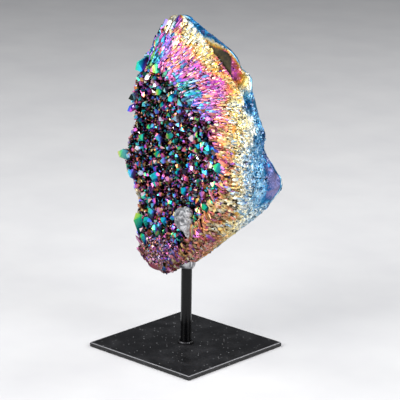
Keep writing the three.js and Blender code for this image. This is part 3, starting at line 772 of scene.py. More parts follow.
def quartzShape(seed, kindName):
    # quartz point with its shoulder at about 0. Every second side and tip face is unlike the others.
    kind, tilt = pointKinds[kindName], quartz["tipTilt"]
    deselect()
    bpy.ops.mesh.primitive_cylinder_add(vertices=6, radius=quartz["radius"], depth=2 * quartz["reach"])
    bpy.ops.object.mode_set(mode="EDIT")
    for number in range(6):
        isLarge = number % 2 == 0
        turn = number * math.pi / 3 + math.pi / 6
        tipScatter, sideScatter = float(chance(seed, number + 6)), float(chance(seed, number))
        tipShare = kind["large" if isLarge else "small"] * (1 + kind["evenness"] * (tipScatter - 0.5))
        tip = Vector((math.cos(turn) * math.sin(tilt), math.sin(turn) * math.sin(tilt), math.cos(tilt)))
        side = Vector((math.cos(turn), math.sin(turn), 0))
        cutOff(tip * tipShare * math.sin(tilt), tip)
        cutOff(side * ((kind["narrow"] if isLarge else 1) * (0.97 - 0.25 * sideScatter)), side)
    bpy.ops.object.mode_set(mode="OBJECT")
    return readShape(bpy.context.object)


def blockShape(seed, cuts):
    # broken grain: a cube cut by slanting planes
    deselect()
    bpy.ops.mesh.primitive_cube_add(size=1.6)
    bpy.ops.object.mode_set(mode="EDIT")
    for number in range(cuts):
        turn = 2 * math.pi * float(chance(seed, number))
        lift = math.asin(2 * float(chance(seed, number + 20)) - 1)
        way = Vector((math.cos(turn) * math.cos(lift), math.sin(turn) * math.cos(lift), math.sin(lift)))
        cutOff(way * (0.62 + 0.25 * float(chance(seed, number + 40))), way)
    bpy.ops.object.mode_set(mode="OBJECT")
    return readShape(bpy.context.object)


def joinCopies(name, material, shapes, choice, turned, origins, looks, shade, roots=None):
    # the mesh of many copies. turned holds the three scaled axes of each copy as columns. From shade's first
    # height to its second, a copy goes from the third value to full light: painted shade towards the root.
    # Roots are how far copies go down.
    fadeFrom, fadeTo, fadeLeast = shade
    rootBelow = -0.9  # vertices lower than this in the copied shape belong to the root
    verts, loops, totals, films, lights, pales = [], [], [], [], [], []
    base = 0
    for number, shape in enumerate(shapes):
        which = np.nonzero(choice == number)[0]
        if not len(which):
            continue
        local = np.repeat(shape["verts"][None], len(which), 0)
        if roots is not None:
            axisLength = np.linalg.norm(turned[which][:, :, 2], axis=1)
            ends = -(roots[which] / axisLength)[:, None]
            local[:, :, 2] = np.where(local[:, :, 2] < rootBelow, ends, local[:, :, 2])
        reach = np.einsum("nij,nvj->nvi", turned[which], local)
        verts.append((reach + origins[which, None]).reshape(-1, 3))
        offsets = base + np.arange(len(which))[:, None] * len(shape["verts"])
        loops.append((shape["loops"][None] + offsets).ravel())
        totals.append(np.tile(shape["totals"], len(which)))
        film, light, pale, slopes = looks(which, shape["normals"])
        run = np.einsum("nvi,ni->nv", reach, slopes)[:, shape["loops"]]
        fade = fadeLeast + (1 - fadeLeast) * smooth(fadeFrom, fadeTo, shape["heights"])
        films.append(np.clip(np.repeat(film, shape["totals"], axis=1) + run, 0, 1).ravel())
        lights.append((np.repeat(light, shape["totals"], axis=1) * fade).ravel())
        pales.append(pale.ravel())
        base += len(which) * len(shape["verts"])
    verts, loops, totals = np.concatenate(verts) * mm, np.concatenate(loops), np.concatenate(totals)
    mesh = bpy.data.meshes.new(name)
    mesh.vertices.add(len(verts))
    mesh.vertices.foreach_set("co", verts.astype(np.float32).ravel())
    mesh.loops.add(len(loops))
    mesh.loops.foreach_set("vertex_index", loops.astype(np.int32))
    mesh.polygons.add(len(totals))
    mesh.polygons.foreach_set("loop_start", np.concatenate([[0], np.cumsum(totals)[:-1]]).astype(np.int32))
    mesh.update(calc_edges=True)
    mesh.validate()
    mesh.shade_flat()
    setAttribute(mesh, "film", "CORNER", np.concatenate(films))
    setAttribute(mesh, "light", "CORNER", np.concatenate(lights))
    setAttribute(mesh, "pale", "FACE", np.concatenate(pales))
    piece = bpy.data.objects.new(name, mesh)
    bpy.context.scene.collection.objects.link(piece)
    dress(piece, "amethyst_cluster", material)
    print(name, len(choice), "copies,", len(totals), "faces")


def choiceOf(shapes, seed):
    return (chance(seed, 10) * len(shapes)).astype(int)


def axesAlong(direction, turn):
    # three axes of copies whose Z runs along the direction, turned about it
    helper = np.where(np.abs(direction[:, 2:]) > 0.9, np.array([[1.0, 0, 0]]), np.array([[0, 0, 1.0]]))
    side = unit(np.cross(helper, direction))
    other = np.cross(direction, side)
    cosine, sine = np.cos(turn)[:, None], np.sin(turn)[:, None]
    return np.stack([side * cosine + other * sine, other * cosine - side * sine, direction], -1)


def turnTowards(direction, target, localAngle):
    # turn about the direction that brings a side of the copies round to a target direction
    axes = axesAlong(direction, np.zeros(len(direction)))
    return np.arctan2(axes[:, :, 1] @ target, axes[:, :, 0] @ target) - localAngle


def threeChances(seed, channel):
    return np.stack([chance(seed, channel + number) for number in range(3)], -1)


def facetLooks(film, light, pale, radius, settings):
    # each facet has its own film, shifted by up to half the shift, which runs across it by the slope over one
    # radius. Facets below the tip have the side's share of light as painted shade, and the dark share of all
    # is painted dark, as facets that mirror only dark.
    channel = settings["channel"]

    def looks(which, ownNormals):
        keys = which[:, None] * 31 + np.arange(len(ownNormals))[None]
        faceFilm = film[which, None] + settings["shift"] * (chance(keys, channel) - 0.5)
        isTip = ownNormals[None, :, 2] > 0.3
        shade = np.where(isTip, 1, settings["side"]) * (0.75 + 0.3 * chance(keys, channel + 1))
        gloom = 0.02 + 0.3 * chance(keys, channel + 3) ** 2
        shade = np.where(chance(keys, channel + 2) < settings["dark"], gloom, shade)
        facePale = pale[which, None] * (0.5 + chance(keys, channel + 4))
        way = levelAcross + 0.9 * (threeChances(which, channel + 5) - 0.5)
        run = between(settings["slope"], chance(which, channel + 8)) / radius[which]
        return faceFilm, light[which, None] * shade, np.clip(facePale, 0, 1), -unit(way) * run[:, None]
    return looks


rootDepth = 3.2  # how far crystals go into the stone
rootLeast = 0.9  # how far a root goes below the shoulder at least

# Crust of small crystals on the face: the part that is searched for places, scatter and lean, how crystals
# of the lobe differ, shares of pale ones, the warm ones, which are darker, and the painted shade towards
# their roots
druze = {
    "halfWidth": 75, "from": 60, "to": 218, "scatter": 0.85, "lean": 1.3, "leanBack": 0.3,
    "lobeScale": 0.55, "lobeStand": 0.4, "lobeFilm": (0.36, 0.56), "lobeLight": 1.35,
    "lobePale": 0.35, "facePale": 0.14, "warmBelow": 0.45, "warmLight": 0.8, "shade": (-0.9, 0.35, 0.01),
}

# The crust's larger crystals and the grains between them. Each of the kinds holds a running share and a range
# of film.
mainDruze = {
    "name": "druze_points", "spacing": 3.1, "radius": (1.4, 3.1), "stand": (0.8, 4.6), "dim": 0.16,
    "bright": 1.35, "slim": 1,
    "kinds": [(0.27, 0.61, 0.74), (0.51, 0.48, 0.56), (0.85, 0.32, 0.46), (1, 0.76, 0.87)],
    "slope": (0.04, 0.2), "shift": 0.2, "dark": 0.28, "side": 0.4, "channel": 21,
}
smallDruze = {
    "name": "druze_grains", "spacing": 1.75, "radius": (0.5, 1.3), "stand": (0.4, 3.2), "dim": 0.12,
    "bright": 1.1, "slim": 0.6,
    "kinds": [(0.68, 0.33, 0.47), (0.82, 0.47, 0.54), (0.91, 0.64, 0.74), (1, 0.76, 0.92)],
    "slope": (0.04, 0.2), "shift": 0.2, "dark": 0.25, "side": 0.4, "channel": 21,
}


def druzePlaces(spacing):
    # places and seeds on the face in shifted rows
    rowStep = spacing * math.sqrt(3) / 2
    reach = int(druze["halfWidth"] / spacing)
    rowNumbers = np.arange(int(druze["from"] / rowStep), int(druze["to"] / rowStep))
    columns, rows = (grid.ravel() for grid in np.meshgrid(np.arange(-reach, reach + 1), rowNumbers))
    seed = 500 + columns * 97 + rows * 13 + int(spacing * 1000)
    x = (columns + (rows % 2) / 2 + druze["scatter"] * (chance(seed, 1) - 0.5)) * spacing
    z = (rows * math.sqrt(3) / 2 + druze["scatter"] * (chance(seed, 2) - 0.5)) * spacing
    point = facePoint(x, z)
    isFound = (abs(point[:, 0] - x) < 1) & (abs(point[:, 2] - z) < 2)
    there = isFound & insideOutline(x, z) & clearOfPatch(point)
    return point[there], seed[there]


def druzePoints(settings, shapes, material):
    # the crust of small crystals on the face
    point, seed = druzePlaces(settings["spacing"])
    inLobe = point[:, 2] < lobeTop
    size = chance(seed, 3) ** 1.5
    radius = between(settings["radius"], size) * np.where(inLobe, druze["lobeScale"], 1)
    stand = between(settings["stand"], chance(seed, 5) * (0.5 + 0.5 * size))
    stand = stand * np.where(inLobe, druze["lobeStand"], 1)
    lean = np.array((druze["lean"], druze["leanBack"], druze["lean"]))
    scatter = np.stack([chance(seed, channel) for channel in (6, 8, 7)], -1) - 0.5
    direction = unit(unit(stone["growthCentre"] - point) + lean * scatter)
    stretched = np.array((0.65, 0.65, 0.95)) + 0.6 * threeChances(seed, 15)
    stretched = stretched * (settings["slim"], 1, 1) * radius[:, None]
    turned = axesAlong(direction, 2 * math.pi * chance(seed, 9)) * stretched[:, None, :]
    origins = point + direction * (stand - radius)[:, None]

    within = chance(seed, 12)
    shares, thin, thick = np.array(settings["kinds"]).T
    kind = np.minimum(np.searchsorted(shares, chance(seed, 11)), len(shares) - 1)
    film = np.where(inLobe, between(druze["lobeFilm"], within), between((thin[kind], thick[kind]), within))
    isWarm = (film < druze["warmBelow"]) & ~inLobe
    # painted glints and shade: each crystal gets its own brightness
    paintedGlint = chance(seed, 13) ** np.where(isWarm, 1.5, 1.15) * np.where(isWarm, druze["warmLight"], 1)
    light = (settings["dim"] + settings["bright"] * paintedGlint) * np.where(inLobe, druze["lobeLight"], 1)
    isPale = chance(seed, 14) < np.where(inLobe, druze["lobePale"], druze["facePale"])
    pale = np.where(isPale, 0.5, 0.03)
    looks = facetLooks(film, light, pale, radius, settings)
    roots = np.maximum(rootLeast, stand - radius + rootDepth)
    joinCopies(settings["name"], material, shapes, choiceOf(shapes, seed), turned, origins, looks,
               druze["shade"], roots)


# Large single crystals: place on the face in X and Z, radius, stand, lean in X and Z, film, paleness
largeCrystals = [
    ((-47, 140), 3.4, 9.5, (-1.3, 0.2), 0.83, 0.1), ((-33, 88), 5.6, 12, (-1.0, 3.2), 0.84, 0),
    ((-40, 186), 3.0, 8, (-0.8, 0.3), 0.77, 0.3), ((-43, 177), 3.0, 7.5, (-0.9, -0.2), 0.60, 0),
    ((-34, 156), 3.6, 5.4, (-0.1, 0.1), 0.78, 0), ((-19, 158), 3.6, 5.6, (0.3, 0.1), 0.64, 0.1),
    ((-19, 145), 3.2, 5.4, (0.1, 0.2), 0.75, 0), ((-16, 193), 3.2, 5.6, (0.2, 0.3), 0.82, 0),
    ((-4, 191), 3.4, 6, (-0.2, -0.3), 0.62, 0), ((6, 190), 3.4, 5.6, (0.5, -0.1), 0.72, 0.1),
    ((3, 176), 3.0, 6.4, (0.1, 0.4), 0.60, 0.6), ((15, 164), 3.2, 5.4, (0.4, 0.2), 0.50, 0.8),
    ((36, 161), 3.0, 5.6, (0.5, 0.1), 0.70, 0), ((46, 149), 4.2, 6.4, (0.6, 0.3), 0.80, 0),
    ((8, 123), 3.4, 5.6, (0.2, 0.3), 0.70, 0), ((29, 124), 3.2, 5.6, (0.4, 0.5), 0.50, 0.1),
    ((33, 115), 3.0, 6, (0.6, 0.6), 0.80, 0), ((-20, 128), 3.5, 5.6, (0.1, 0.2), 0.68, 0),
    ((-42, 126), 3.5, 7, (-0.8, 0.1), 0.63, 0.1), ((-24, 117), 3.5, 5.6, (-0.1, 0.4), 0.59, 0.1),
    ((-9, 97), 2.8, 5.6, (-0.2, 0.5), 0.72, 0), ((-31, 211), 4.8, 9.5, (-1.2, 0.2), 0.71, 0),
    ((-17, 210), 4.4, 9, (-0.2, 0.9), 0.89, 0), ((-27, 92), 3.0, 7, (-0.6, 1.6), 0.74, 0),
    ((-30, 79), 2.8, 6, (-1.0, 1.4), 0.78, 0), ((-22, 99), 3.0, 6.4, (-0.4, 1.4), 0.72, 0.1),
    ((-18, 88), 3.0, 5.6, (-0.2, 1.2), 0.76, 0), ((-13, 92), 2.8, 5.6, (0, 1), 0.66, 0.1),
    ((-24, 107), 2.8, 5.6, (-0.5, 0.8), 0.31, 0.4), ((-14, 103), 2.8, 5.6, (0.1, 1.2), 0.48, 0.2),
]

# Bright crystals between them: place in the photo's frame, radius, film, paleness
brightCrystals = [
    ((148, 127), 2.4, 0.81, 0), ((195, 130), 2.6, 0.66, 0.2), ((197, 135), 2.6, 0.84, 0),
    ((199, 147), 2.6, 0.62, 0), ((137, 149), 2.2, 0.5, 0.8), ((127, 156), 2.4, 0.65, 0.4),
    ((191, 157), 2.4, 0.6, 0), ((155, 163), 2.2, 0.4, 0.7), ((163, 161), 2.6, 0.64, 0.1),
    ((197, 165), 2.4, 0.75, 0), ((188, 166), 2.4, 0.6, 0), ((134, 168), 2.4, 0.48, 0),
    ((155, 170), 3, 0.52, 0), ((140, 174), 2.4, 0.62, 0.5), ((167, 181), 2.6, 0.45, 0.2),
    ((177, 173), 2, 0.75, 0), ((178, 167), 2.2, 0.37, 0.1), ((142, 196), 2.4, 0.5, 0.9),
    ((188, 192), 2, 0.5, 0.4), ((170, 162), 2, 0.5, 0.7), ((145, 147), 2.2, 0.51, 0),
    ((193, 170), 2, 0.52, 0.3), ((147, 76), 2.4, 0.5, 0.7), ((147, 91), 2.6, 0.58, 0),
    ((214, 186), 2.8, 0.76, 0), ((198, 212), 2.6, 0.83, 0), ((134, 116), 2.4, 0.66, 0.1),
    ((161, 104), 2.4, 0.71, 0), ((168, 149), 2.2, 0.66, 0.2), ((206, 174), 2.4, 0.66, 0),
    ((160, 196), 2.4, 0.5, 0.1), ((170, 205), 2.2, 0.77, 0), ((126, 186), 2.4, 0.5, 0.1),
    ((152, 207), 2.4, 0.62, 0.2), ((186, 180), 2.2, 0.46, 0), ((143, 104), 2.2, 0.74, 0.1),
]

# What both have in common. Crystals whose film is past green get a painted highlight: they are lighter.
largeLook = {
    "leanShare": 0.5, "brightStand": 4.6, "brightLean": 0.4, "shade": (-1.6, 0, 0.1),
    "light": 1.3, "greenLight": 1.5, "greenFrom": 0.82,
    "slope": (0.1, 0.2), "shift": 0.07, "dark": 0.1, "side": 0.6, "channel": 41,
}


def seenOnFace(across, down):
    # place on the crystal face that the camera sees at a pixel of the photo's frame. The depth is found in
    # four steps from a first guess.
    place, back, right, up = viewAxes()
    half = view["frame"] / 2
    ray = right * (across - half) + up * (half - down) - back * view["focal"]
    depth = -17.0
    for _ in range(4):
        spot = place + ray * ((depth - place[1]) / ray[1])
        point = facePoint(spot[:1], spot[2:])[0]
        depth = point[1] - largeLook["brightStand"] * 0.6
    return point


def largePoints(shapes, material):
    # the large crystals, then the bright ones, each with a random lean
    places = np.array([entry[0] for entry in largeCrystals], float)
    seen = np.array([seenOnFace(*entry[0]) for entry in brightCrystals])
    point = np.concatenate([facePoint(places[:, 0], places[:, 1]), seen])
    number = np.arange(len(point))
    scatter = (2 * np.stack([chance(number, 31), chance(number, 32)], -1) - 1) * largeLook["brightLean"]
    entries = [entry[1:] for entry in largeCrystals]
    for _, size, film, pale in brightCrystals:
        entries.append((size, largeLook["brightStand"], scatter[len(entries)], film, pale))
    radius, stand, lean, film, pale = (np.array(values) for values in zip(*entries))
    direction = unit(stone["growthCentre"] - point)
    direction[:, [0, 2]] += lean * largeLook["leanShare"]
    direction = unit(direction)
    turn = turnTowards(direction, viewAxes()[1], math.pi / 6) + 0.7 * (chance(number, 8) - 0.5)
    stretched = (0.8, 0.8, 1) + (0.4, 0.4, 0.35) * threeChances(number, 15)
    turned = axesAlong(direction, turn) * (stretched * radius[:, None])[:, None, :]
    origins = point + direction * (stand - radius)[:, None]
    light = np.where(film > largeLook["greenFrom"], largeLook["greenLight"], largeLook["light"])
    looks = facetLooks(film, light, pale, radius, largeLook)
    roots = np.maximum(rootLeast, stand - radius + rootDepth)
    joinCopies("large_points", material, shapes, number % len(shapes), turned, origins, looks,
               largeLook["shade"], roots)


def scatterOver(name, step, seedBase):
    # places over a stretch, about a step apart both ways
    rows = int(stoneHeight / step)
    alongs, ups, seeds = [], [], []
    for row in range(rows):
        up = (row + 0.5) / rows
        level = np.array([up])
        width = np.linalg.norm(railAt(stretches[name]["to"], level) - railAt(stretches[name]["from"], level))
        count = max(1, int(width / step))
        seed = seedBase + row * 211 + np.arange(count)
        alongs.append((np.arange(count) + 0.5 + 0.9 * (chance(seed, 1) - 0.5)) / count)
        ups.append(np.clip(up + 0.9 * (chance(seed, 2) - 0.5) / rows, 0, 1))
        seeds.append(seed)
    return np.concatenate(alongs), np.concatenate(ups), np.concatenate(seeds)


def placesOn(settings):
    # chosen places on the stone: point, normal, growth along the surface, film, lightness, seed and along
    step, groups = settings["step"], []
    for number, part in enumerate(settings["on"]):
        along, up, seed = scatterOver(part, step, 10000 * (number + 1) + int(step * 1000))
        point, normal, flat = surfaceFrames(part, along, up)
        film, light = surfaceLook(part, along, point)[:2]
        chosen = settings["keep"](part, along, point, seed)
        groups.append([values[chosen] for values in (point, normal, flat, film, light, seed, along)])
    return [np.concatenate(values) for values in zip(*groups)]


# Common to the layers of columns: how they lie, where they're longer or shorter, the shares of columns whose
# film is thinner or thicker and by how much, their facets, and what a layer may change
columnsOfQuartz = {
    "lift": (0.02, 0.38), "sink": 0.4, "sway": 0.24, "forwards": 0.25,
    "low": (118, 132), "longerBelow": 0.45, "edge": (0.78, 0.93), "shorterAtEdge": 0.3,
    "filmScatter": 0.1, "thinner": 0.2, "thicker": 0.16,
    "goldShift": 0.08, "roseShift": 0.14, "roseFrom": 0.38,
    # shade and dark: painted shade towards the root and on the dark share of facets
    "shade": (-3, -1.6, 0.45), "slope": (0.0, 0.04), "shift": 0.07, "side": 1, "channel": 61,
    "dark": 0.12, "flat": 1, "dim": 0.65, "film": "column_film",
}


def quartzColumns(layer, shapes, films):
    # broken columns that lie on the stone like shingles, their points towards the growth centre
    settings = {**columnsOfQuartz, **layer}
    material = films[settings["film"]]
    point, normal, flat, film, light, seed, along = placesOn(settings)
    lift = between(settings["lift"], chance(seed, 5))
    sway = settings["sway"] * (chance(seed, 6) - 0.5)
    direction = unit(flat + np.cross(normal, flat) * sway[:, None] + normal * lift[:, None])
    radius = between(settings["radius"], chance(seed, 7))
    atEdge = smooth(*settings["edge"], along)  # where roots would stand over an edge, columns move forwards
    low = 1 - smooth(*settings["low"], point[:, 2])
    length = between(settings["length"], chance(seed, 8))
    length = length * (1 - settings["shorterAtEdge"] * atEdge) * (1 + settings["longerBelow"] * low)
    axes = axesAlong(direction, 2 * math.pi * chance(seed, 9))
    scale = np.stack([radius, radius * settings["flat"], length / 4], -1)
    forwards = length * settings["forwards"] * (1 + atEdge)
    origins = point + direction * forwards[:, None] - normal * (radius * settings["sink"])[:, None]
    odd = chance(seed, 12)
    film = film + settings["filmScatter"] * (chance(seed, 11) - 0.5)
    shift = np.where(film > settings["roseFrom"], settings["roseShift"], settings["goldShift"])
    film = film + shift * ((odd < settings["thicker"]) * 1 - (odd > 1 - settings["thinner"]))
    light = light * (settings["dim"] + 0.8 * chance(seed, 13))
    pale = settings["pale"] * (0.3 + 1.4 * chance(seed, 14))
    looks = facetLooks(film, light, pale, radius, settings)
    joinCopies(settings["name"], material, shapes, choiceOf(shapes, seed), axes * scale[:, None, :], origins,
               looks, settings["shade"])


# Ground of the grey patch, left free of crystals: height, middle in X, half width
patchGround = [
    (82, 17, 0), (84, 17, 2.5), (90, 16.5, 3.5), (96, 15, 5), (101, 13.5, 6.5), (108, 13.5, 6.5),
    (111, 13.5, 4), (112, 13.5, 0),
]


def clearOfPatch(point):
    heights, middles, halves = np.array(patchGround, float).T
    middle, half = np.interp(point[:, 2], heights, middles), np.interp(point[:, 2], heights, halves)
    return (np.abs(point[:, 0] - middle) >= half) | (point[:, 1] > 0)


# Heights on the hood: over the face's upper edge, where its blades stand, and where its tip starts
hoodHeights = {"overFace": 211, "bladesFrom": 200, "tipFrom": 226}


def outsideFace(point):
    overFace = point[:, 2] > hoodHeights["overFace"]
    return (~insideOutline(point[:, 0], point[:, 2]) | overFace) & clearOfPatch(point)


# The next functions say which of the scattered places are kept, by stretch, share along it, point and seed


def onHood(part, along, point, seed):
    return outsideFace(point) & (point[:, 2] > lobeTop)


def onLeft(part, along, point, seed):
    return chance(seed, 30) < 0.8


def bladesOnHood(part, along, point, seed):
    z = point[:, 2]
    inReach = (z > hoodHeights["bladesFrom"]) & (z < hoodHeights["tipFrom"]) & (along < 0.75)
    return outsideFace(point) & inReach


def fineOnHood(part, along, point, seed):
    share = np.where(point[:, 2] > hoodHeights["tipFrom"], 1, 0.5)
    return onHood(part, along, point, seed) & (chance(seed, 30) < share)


def coarseOnSide(part, along, point, seed):
    low, high = point[:, 2] < lowSide, point[:, 2] > 186
    share = np.where(low, 1.2 - 0.5 * along, np.where(high, 1.1 - 1.5 * along, 0.8 - 1.4 * along))
    return chance(seed, 30) < share


def fineOnSide(part, along, point, seed):
    return chance(seed, 30) < np.where(point[:, 2] < lowSide, 0.45, 1.25 - along * 0.8)


# Common to the layers of grains
grainsOnStone = {
    # shade and dark: painted shade towards the grain's underside and on the dark share of facets
    "sink": 0.12, "shade": (-0.7, 0.1, 0.25), "slope": (0, 0.03), "shift": 0.05, "dark": 0.12, "side": 1,
    "channel": 81, "pale": 0.15, "squash": 0.6, "tilt": 0.9, "spread": 0.07,
}


def grainsOf(layer, shapes, material):
    # small broken grains on the stone
    settings = {**grainsOnStone, **layer}
    point, normal, _, film, light, seed, _ = placesOn(settings)
    tilt = unit(normal + settings["tilt"] * (threeChances(seed, 5) - 0.5))
    size = between(settings["size"], chance(seed, 8) ** 2)
    axes = axesAlong(tilt, 2 * math.pi * chance(seed, 9))
    turned = axes * np.stack([size, size * 0.75, size * settings["squash"]], -1)[:, None, :] * 0.6
    film = film + settings["spread"] * (chance(seed, 11) - 0.5)
    light = light * (0.6 + 0.65 * chance(seed, 13))
    pale = settings["pale"] * (0.3 + 1.4 * chance(seed, 14))
    looks = facetLooks(film, light, pale, size, settings)
    origins = point - normal * (size * settings["sink"])[:, None]
    joinCopies(settings["name"], material, shapes, choiceOf(shapes, seed), turned, origins, looks,
               settings["shade"])


def bladesOnSide(part, along, point, seed):
    low, high = 112, 143
    return (point[:, 2] > low) & (point[:, 2] < high) & (along < 0.5) & (chance(seed, 30) < 0.75)


def onOuterBand(part, along, point, seed):
    # on the broken side the grains get more towards the crest. Behind it they leave the recess and a smooth
    # stretch of the rim free.
    if part == "side":
        return chance(seed, 30) < 0.15 + along
    heights, reaches = np.array(recessReach, float).T
    z = point[:, 2]
    isSmooth = (z < 145) & (z > 116) & (along > 0.5)
    return (along > np.interp(z, heights, reaches)) & (z < 230) & ~isSmooth


def onSkin(part, along, point, seed):
    clusters = lumpiness(point + 70, 11) + 0.5 * lumpiness(point + 20, 5)
    return chance(seed, 30) < 0.35 + 0.6 * clusters


def onLobe(part, along, point, seed):
    return (point[:, 2] < lobeTop + 3) & (chance(seed, 30) < 0.9)


# Layers of broken columns: the stretches they stand on, the step between places in mm, their sizes in mm, and
# the shares of pale columns and dark facets
quartzLayers = [
    {"name": "hood_columns", "on": ["front"], "keep": onHood, "step": 2.9, "radius": (1.1, 2.1),
     "length": (8, 15), "pale": 0.08},
    {"name": "hood_blades", "on": ["front"], "keep": bladesOnHood, "step": 3.7, "radius": (2.0, 3.2),
     "length": (9, 14), "pale": 0.03, "dark": 0.25, "flat": 0.6, "dim": 0.45, "film": "crystal_film"},
    {"name": "hood_splinters", "on": ["front"], "keep": fineOnHood, "step": 1.9, "radius": (0.6, 1.1),
     "length": (4, 8), "pale": 0.2},
    {"name": "broken_columns", "on": ["side"], "keep": coarseOnSide, "step": 2.6, "radius": (1.0, 1.9),
     "length": (6, 13), "pale": 0.15, "dark": 0.2},
    {"name": "side_blades", "on": ["side"], "keep": bladesOnSide, "step": 4.6, "radius": (1.8, 2.8),
     "length": (9, 14), "pale": 0.1, "dark": 0.25, "flat": 0.5, "dim": 0.6},
    {"name": "broken_splinters", "on": ["side"], "keep": fineOnSide, "step": 1.6, "radius": (0.5, 1.0),
     "length": (3, 6), "pale": 0.2, "dark": 0.2},
    {"name": "left_columns", "on": ["leftSide"], "keep": onLeft, "step": 2.4, "radius": (0.8, 1.6),
     "length": (5, 10), "pale": 0.25},
]

# Layers of grains
grainLayers = [
    {"name": "outer_grains", "on": ["side", "trough"], "keep": onOuterBand, "step": 1.35,
     "size": (0.8, 2.4)},
    {"name": "lobe_grains", "on": ["front", "side", "trough", "leftSide"], "keep": onLobe, "step": 1.5,
     "size": (0.8, 2.2), "pale": 0.3, "spread": 0.28},
    {"name": "skin_grains", "on": ["skinRight", "skinLeft"], "keep": onSkin, "step": 2.0,
     "size": (1.0, 3.4), "pale": 0.1, "squash": 0.35, "tilt": 0.35},
]

# Steel of the stand in mm: the plate with the inner limits of the painted highlight on its bevel, the post,
# and the bead of weld
stand = {
    "plateTop": 3.5, "plateHalf": 49.45, "plateEdge": 2.95,
    "postRadius": 4, "postTop": 108, "postSides": 64,
    "beadRadius": 5.0, "beadThickness": 1.0, "beadRaise": 0.8,
}


def postRod(material):
    length = stand["postTop"] - stand["plateTop"]
    middle = stand["plateTop"] + length / 2
    deselect()
    bpy.ops.mesh.primitive_cylinder_add(vertices=stand["postSides"], radius=stand["postRadius"] * mm,
                                        depth=length * mm, location=(0, 0, middle * mm))
    rod = bpy.context.object
    rod.name = rod.data.name = "post_rod"
    keepPlace(rod)
    bpy.ops.object.shade_smooth_by_angle(angle=math.radians(30))
    dress(rod, "post", material)


def ringRound(name, radius, thickness, segments, height):
    # a torus round the post, with its place in its mesh
    deselect()
    bpy.ops.mesh.primitive_torus_add(major_radius=radius * mm, minor_radius=thickness * mm,
                                     major_segments=segments[0], minor_segments=segments[1],
                                     location=(0, 0, height * mm))
    ring = bpy.context.object
    ring.name = ring.data.name = name
    keepPlace(ring)
    bpy.ops.object.shade_smooth()
    return ring


def weldBead(material):
    bead = ringRound("weld_bead", stand["beadRadius"], stand["beadThickness"], (72, 14),
                     stand["plateTop"] + stand["beadRaise"])
    dress(bead, "weld_ring", material)


# Steel looks: dust, roughness, where specks start (less is more of them), metallic, and for the painted
# highlight along the bevel half a side and a height in mm
rodLook = {"name": "gloss_rod", "dust": 0.02, "roughness": 0.15, "specksAt": 1.6, "metallic": 0.55}
weldLook = {"name": "worn_weld", "dust": 0.8, "roughness": 0.25, "specksAt": 0.9, "metallic": 0.55}
plateLook = {
    "name": "dusty_plate", "dust": 0.12, "roughness": 0.36, "specksAt": 0.72, "metallic": 0.1,
    "paintedBevelHighlight": (stand["plateHalf"], stand["plateEdge"]),
}


def blackSteel(settings):
    # black painted steel with a haze of dust and single specks, and where set, a painted highlight along the
    # bevel
    sheet = Sheet(settings["name"])
    haze = sheet.noise(14, 5, 0.6)
    fine = sheet.noise(0.9, 4, 0.7)
    dusty = ((haze - 0.45) * 2.2 + (fine - 0.5) * 1.4).clamped() * settings["dust"]
    colour = sheet.blend(dusty, srgb((14, 14, 16)), srgb((120, 120, 124)))
    cells = {"Vector": sheet.place(), "Scale": 1 / (3.2 * mm)}
    near = sheet.node("ShaderNodeTexVoronoi", {}, cells)
    odd = sheet.node("ShaderNodeTexVoronoi", {}, cells, "Color")
    speck = ((0.14 - near) * 24).clamped() * ((odd - settings["specksAt"] + 0.4) * 4).clamped()
    colour = sheet.blend(speck, colour, srgb((150, 150, 152)))
    # painted highlight: a lighter band along the top bevel, broken up by noise
    if "paintedBevelHighlight" in settings:
        side, height = settings["paintedBevelHighlight"]
        split = {"Vector": sheet.place()}
        across, along, up = (sheet.node("ShaderNodeSeparateXYZ", {}, split, axis) for axis in ("X", "Y", "Z"))
        far = across.combined("ABSOLUTE").combined("MAXIMUM", along.combined("ABSOLUTE"))
        bevelHighlightMask = ((far - side * mm) * 4000).clamped() * ((up - height * mm) * 4000).clamped()
        colour = sheet.blend(bevelHighlightMask * (fine * 0.8 + 0.45).clamped(), colour, srgb((132, 132, 136)))
    return sheet.finish({
        "Base Color": colour,
        "Roughness": (haze * 0.18 + fine * 0.14 + (settings["roughness"] - 0.14)).clamped(),
        "Metallic": settings["metallic"],
        "Normal": sheet.bump(fine, 0.15, 0.08),
    })


def greyResin(name):
    # wrinkled resin with painted shade in its folds. The fold attribute is 0 along the bottom of a fold.
    sheet = Sheet(name)
    cloud = sheet.noise(2.4, 5, 0.6)
    colour = sheet.ramp(cloud, [
        (0.3, srgb((150, 152, 156))), (0.52, srgb((186, 187, 190))), (0.68, srgb((226, 226, 228)))])
    # painted shade: dark along the folds and, on the patch, over its left and top
    depth = (sheet.attribute("fold") * 1.5 + 0.02).clamped()
    return sheet.finish({
        "Base Color": sheet.blend(depth, srgb((58, 60, 66)), colour),
        "Roughness": (cloud * 0.2 + 0.22).clamped(),
        "Normal": sheet.bump(sheet.noise(1.3, 4, 0.6), 0.6, 0.3),
    })


# Grey patch: its middle, its half sizes before the outline stretches it, and the width of its wrinkles
patch = {"middle": (12.0, -17.6, 101), "half": (7.8, 5.4, 12.4), "levels": 6, "wrinkle": 2.6}

# Its outline, from -1 at the bottom to 1 at the top: height, shift to the right in mm, share of its width,
# and shift towards the camera in mm
patchOutline = [
    (-1, 6.2, 0.5, 3.6), (-0.92, 5.4, 0.45, 3.4), (-0.74, 3.8, 0.4, 3), (-0.49, 3.0, 0.58, 2),
    (-0.31, 1.7, 0.78, 1.1), (0, 0.3, 0.95, 0.4), (0.48, 0, 1.09, 0), (0.83, 1.0, 1.45, 0),
    (0.95, 1.6, 1.9, 0), (1, 2, 2.2, 0),
]


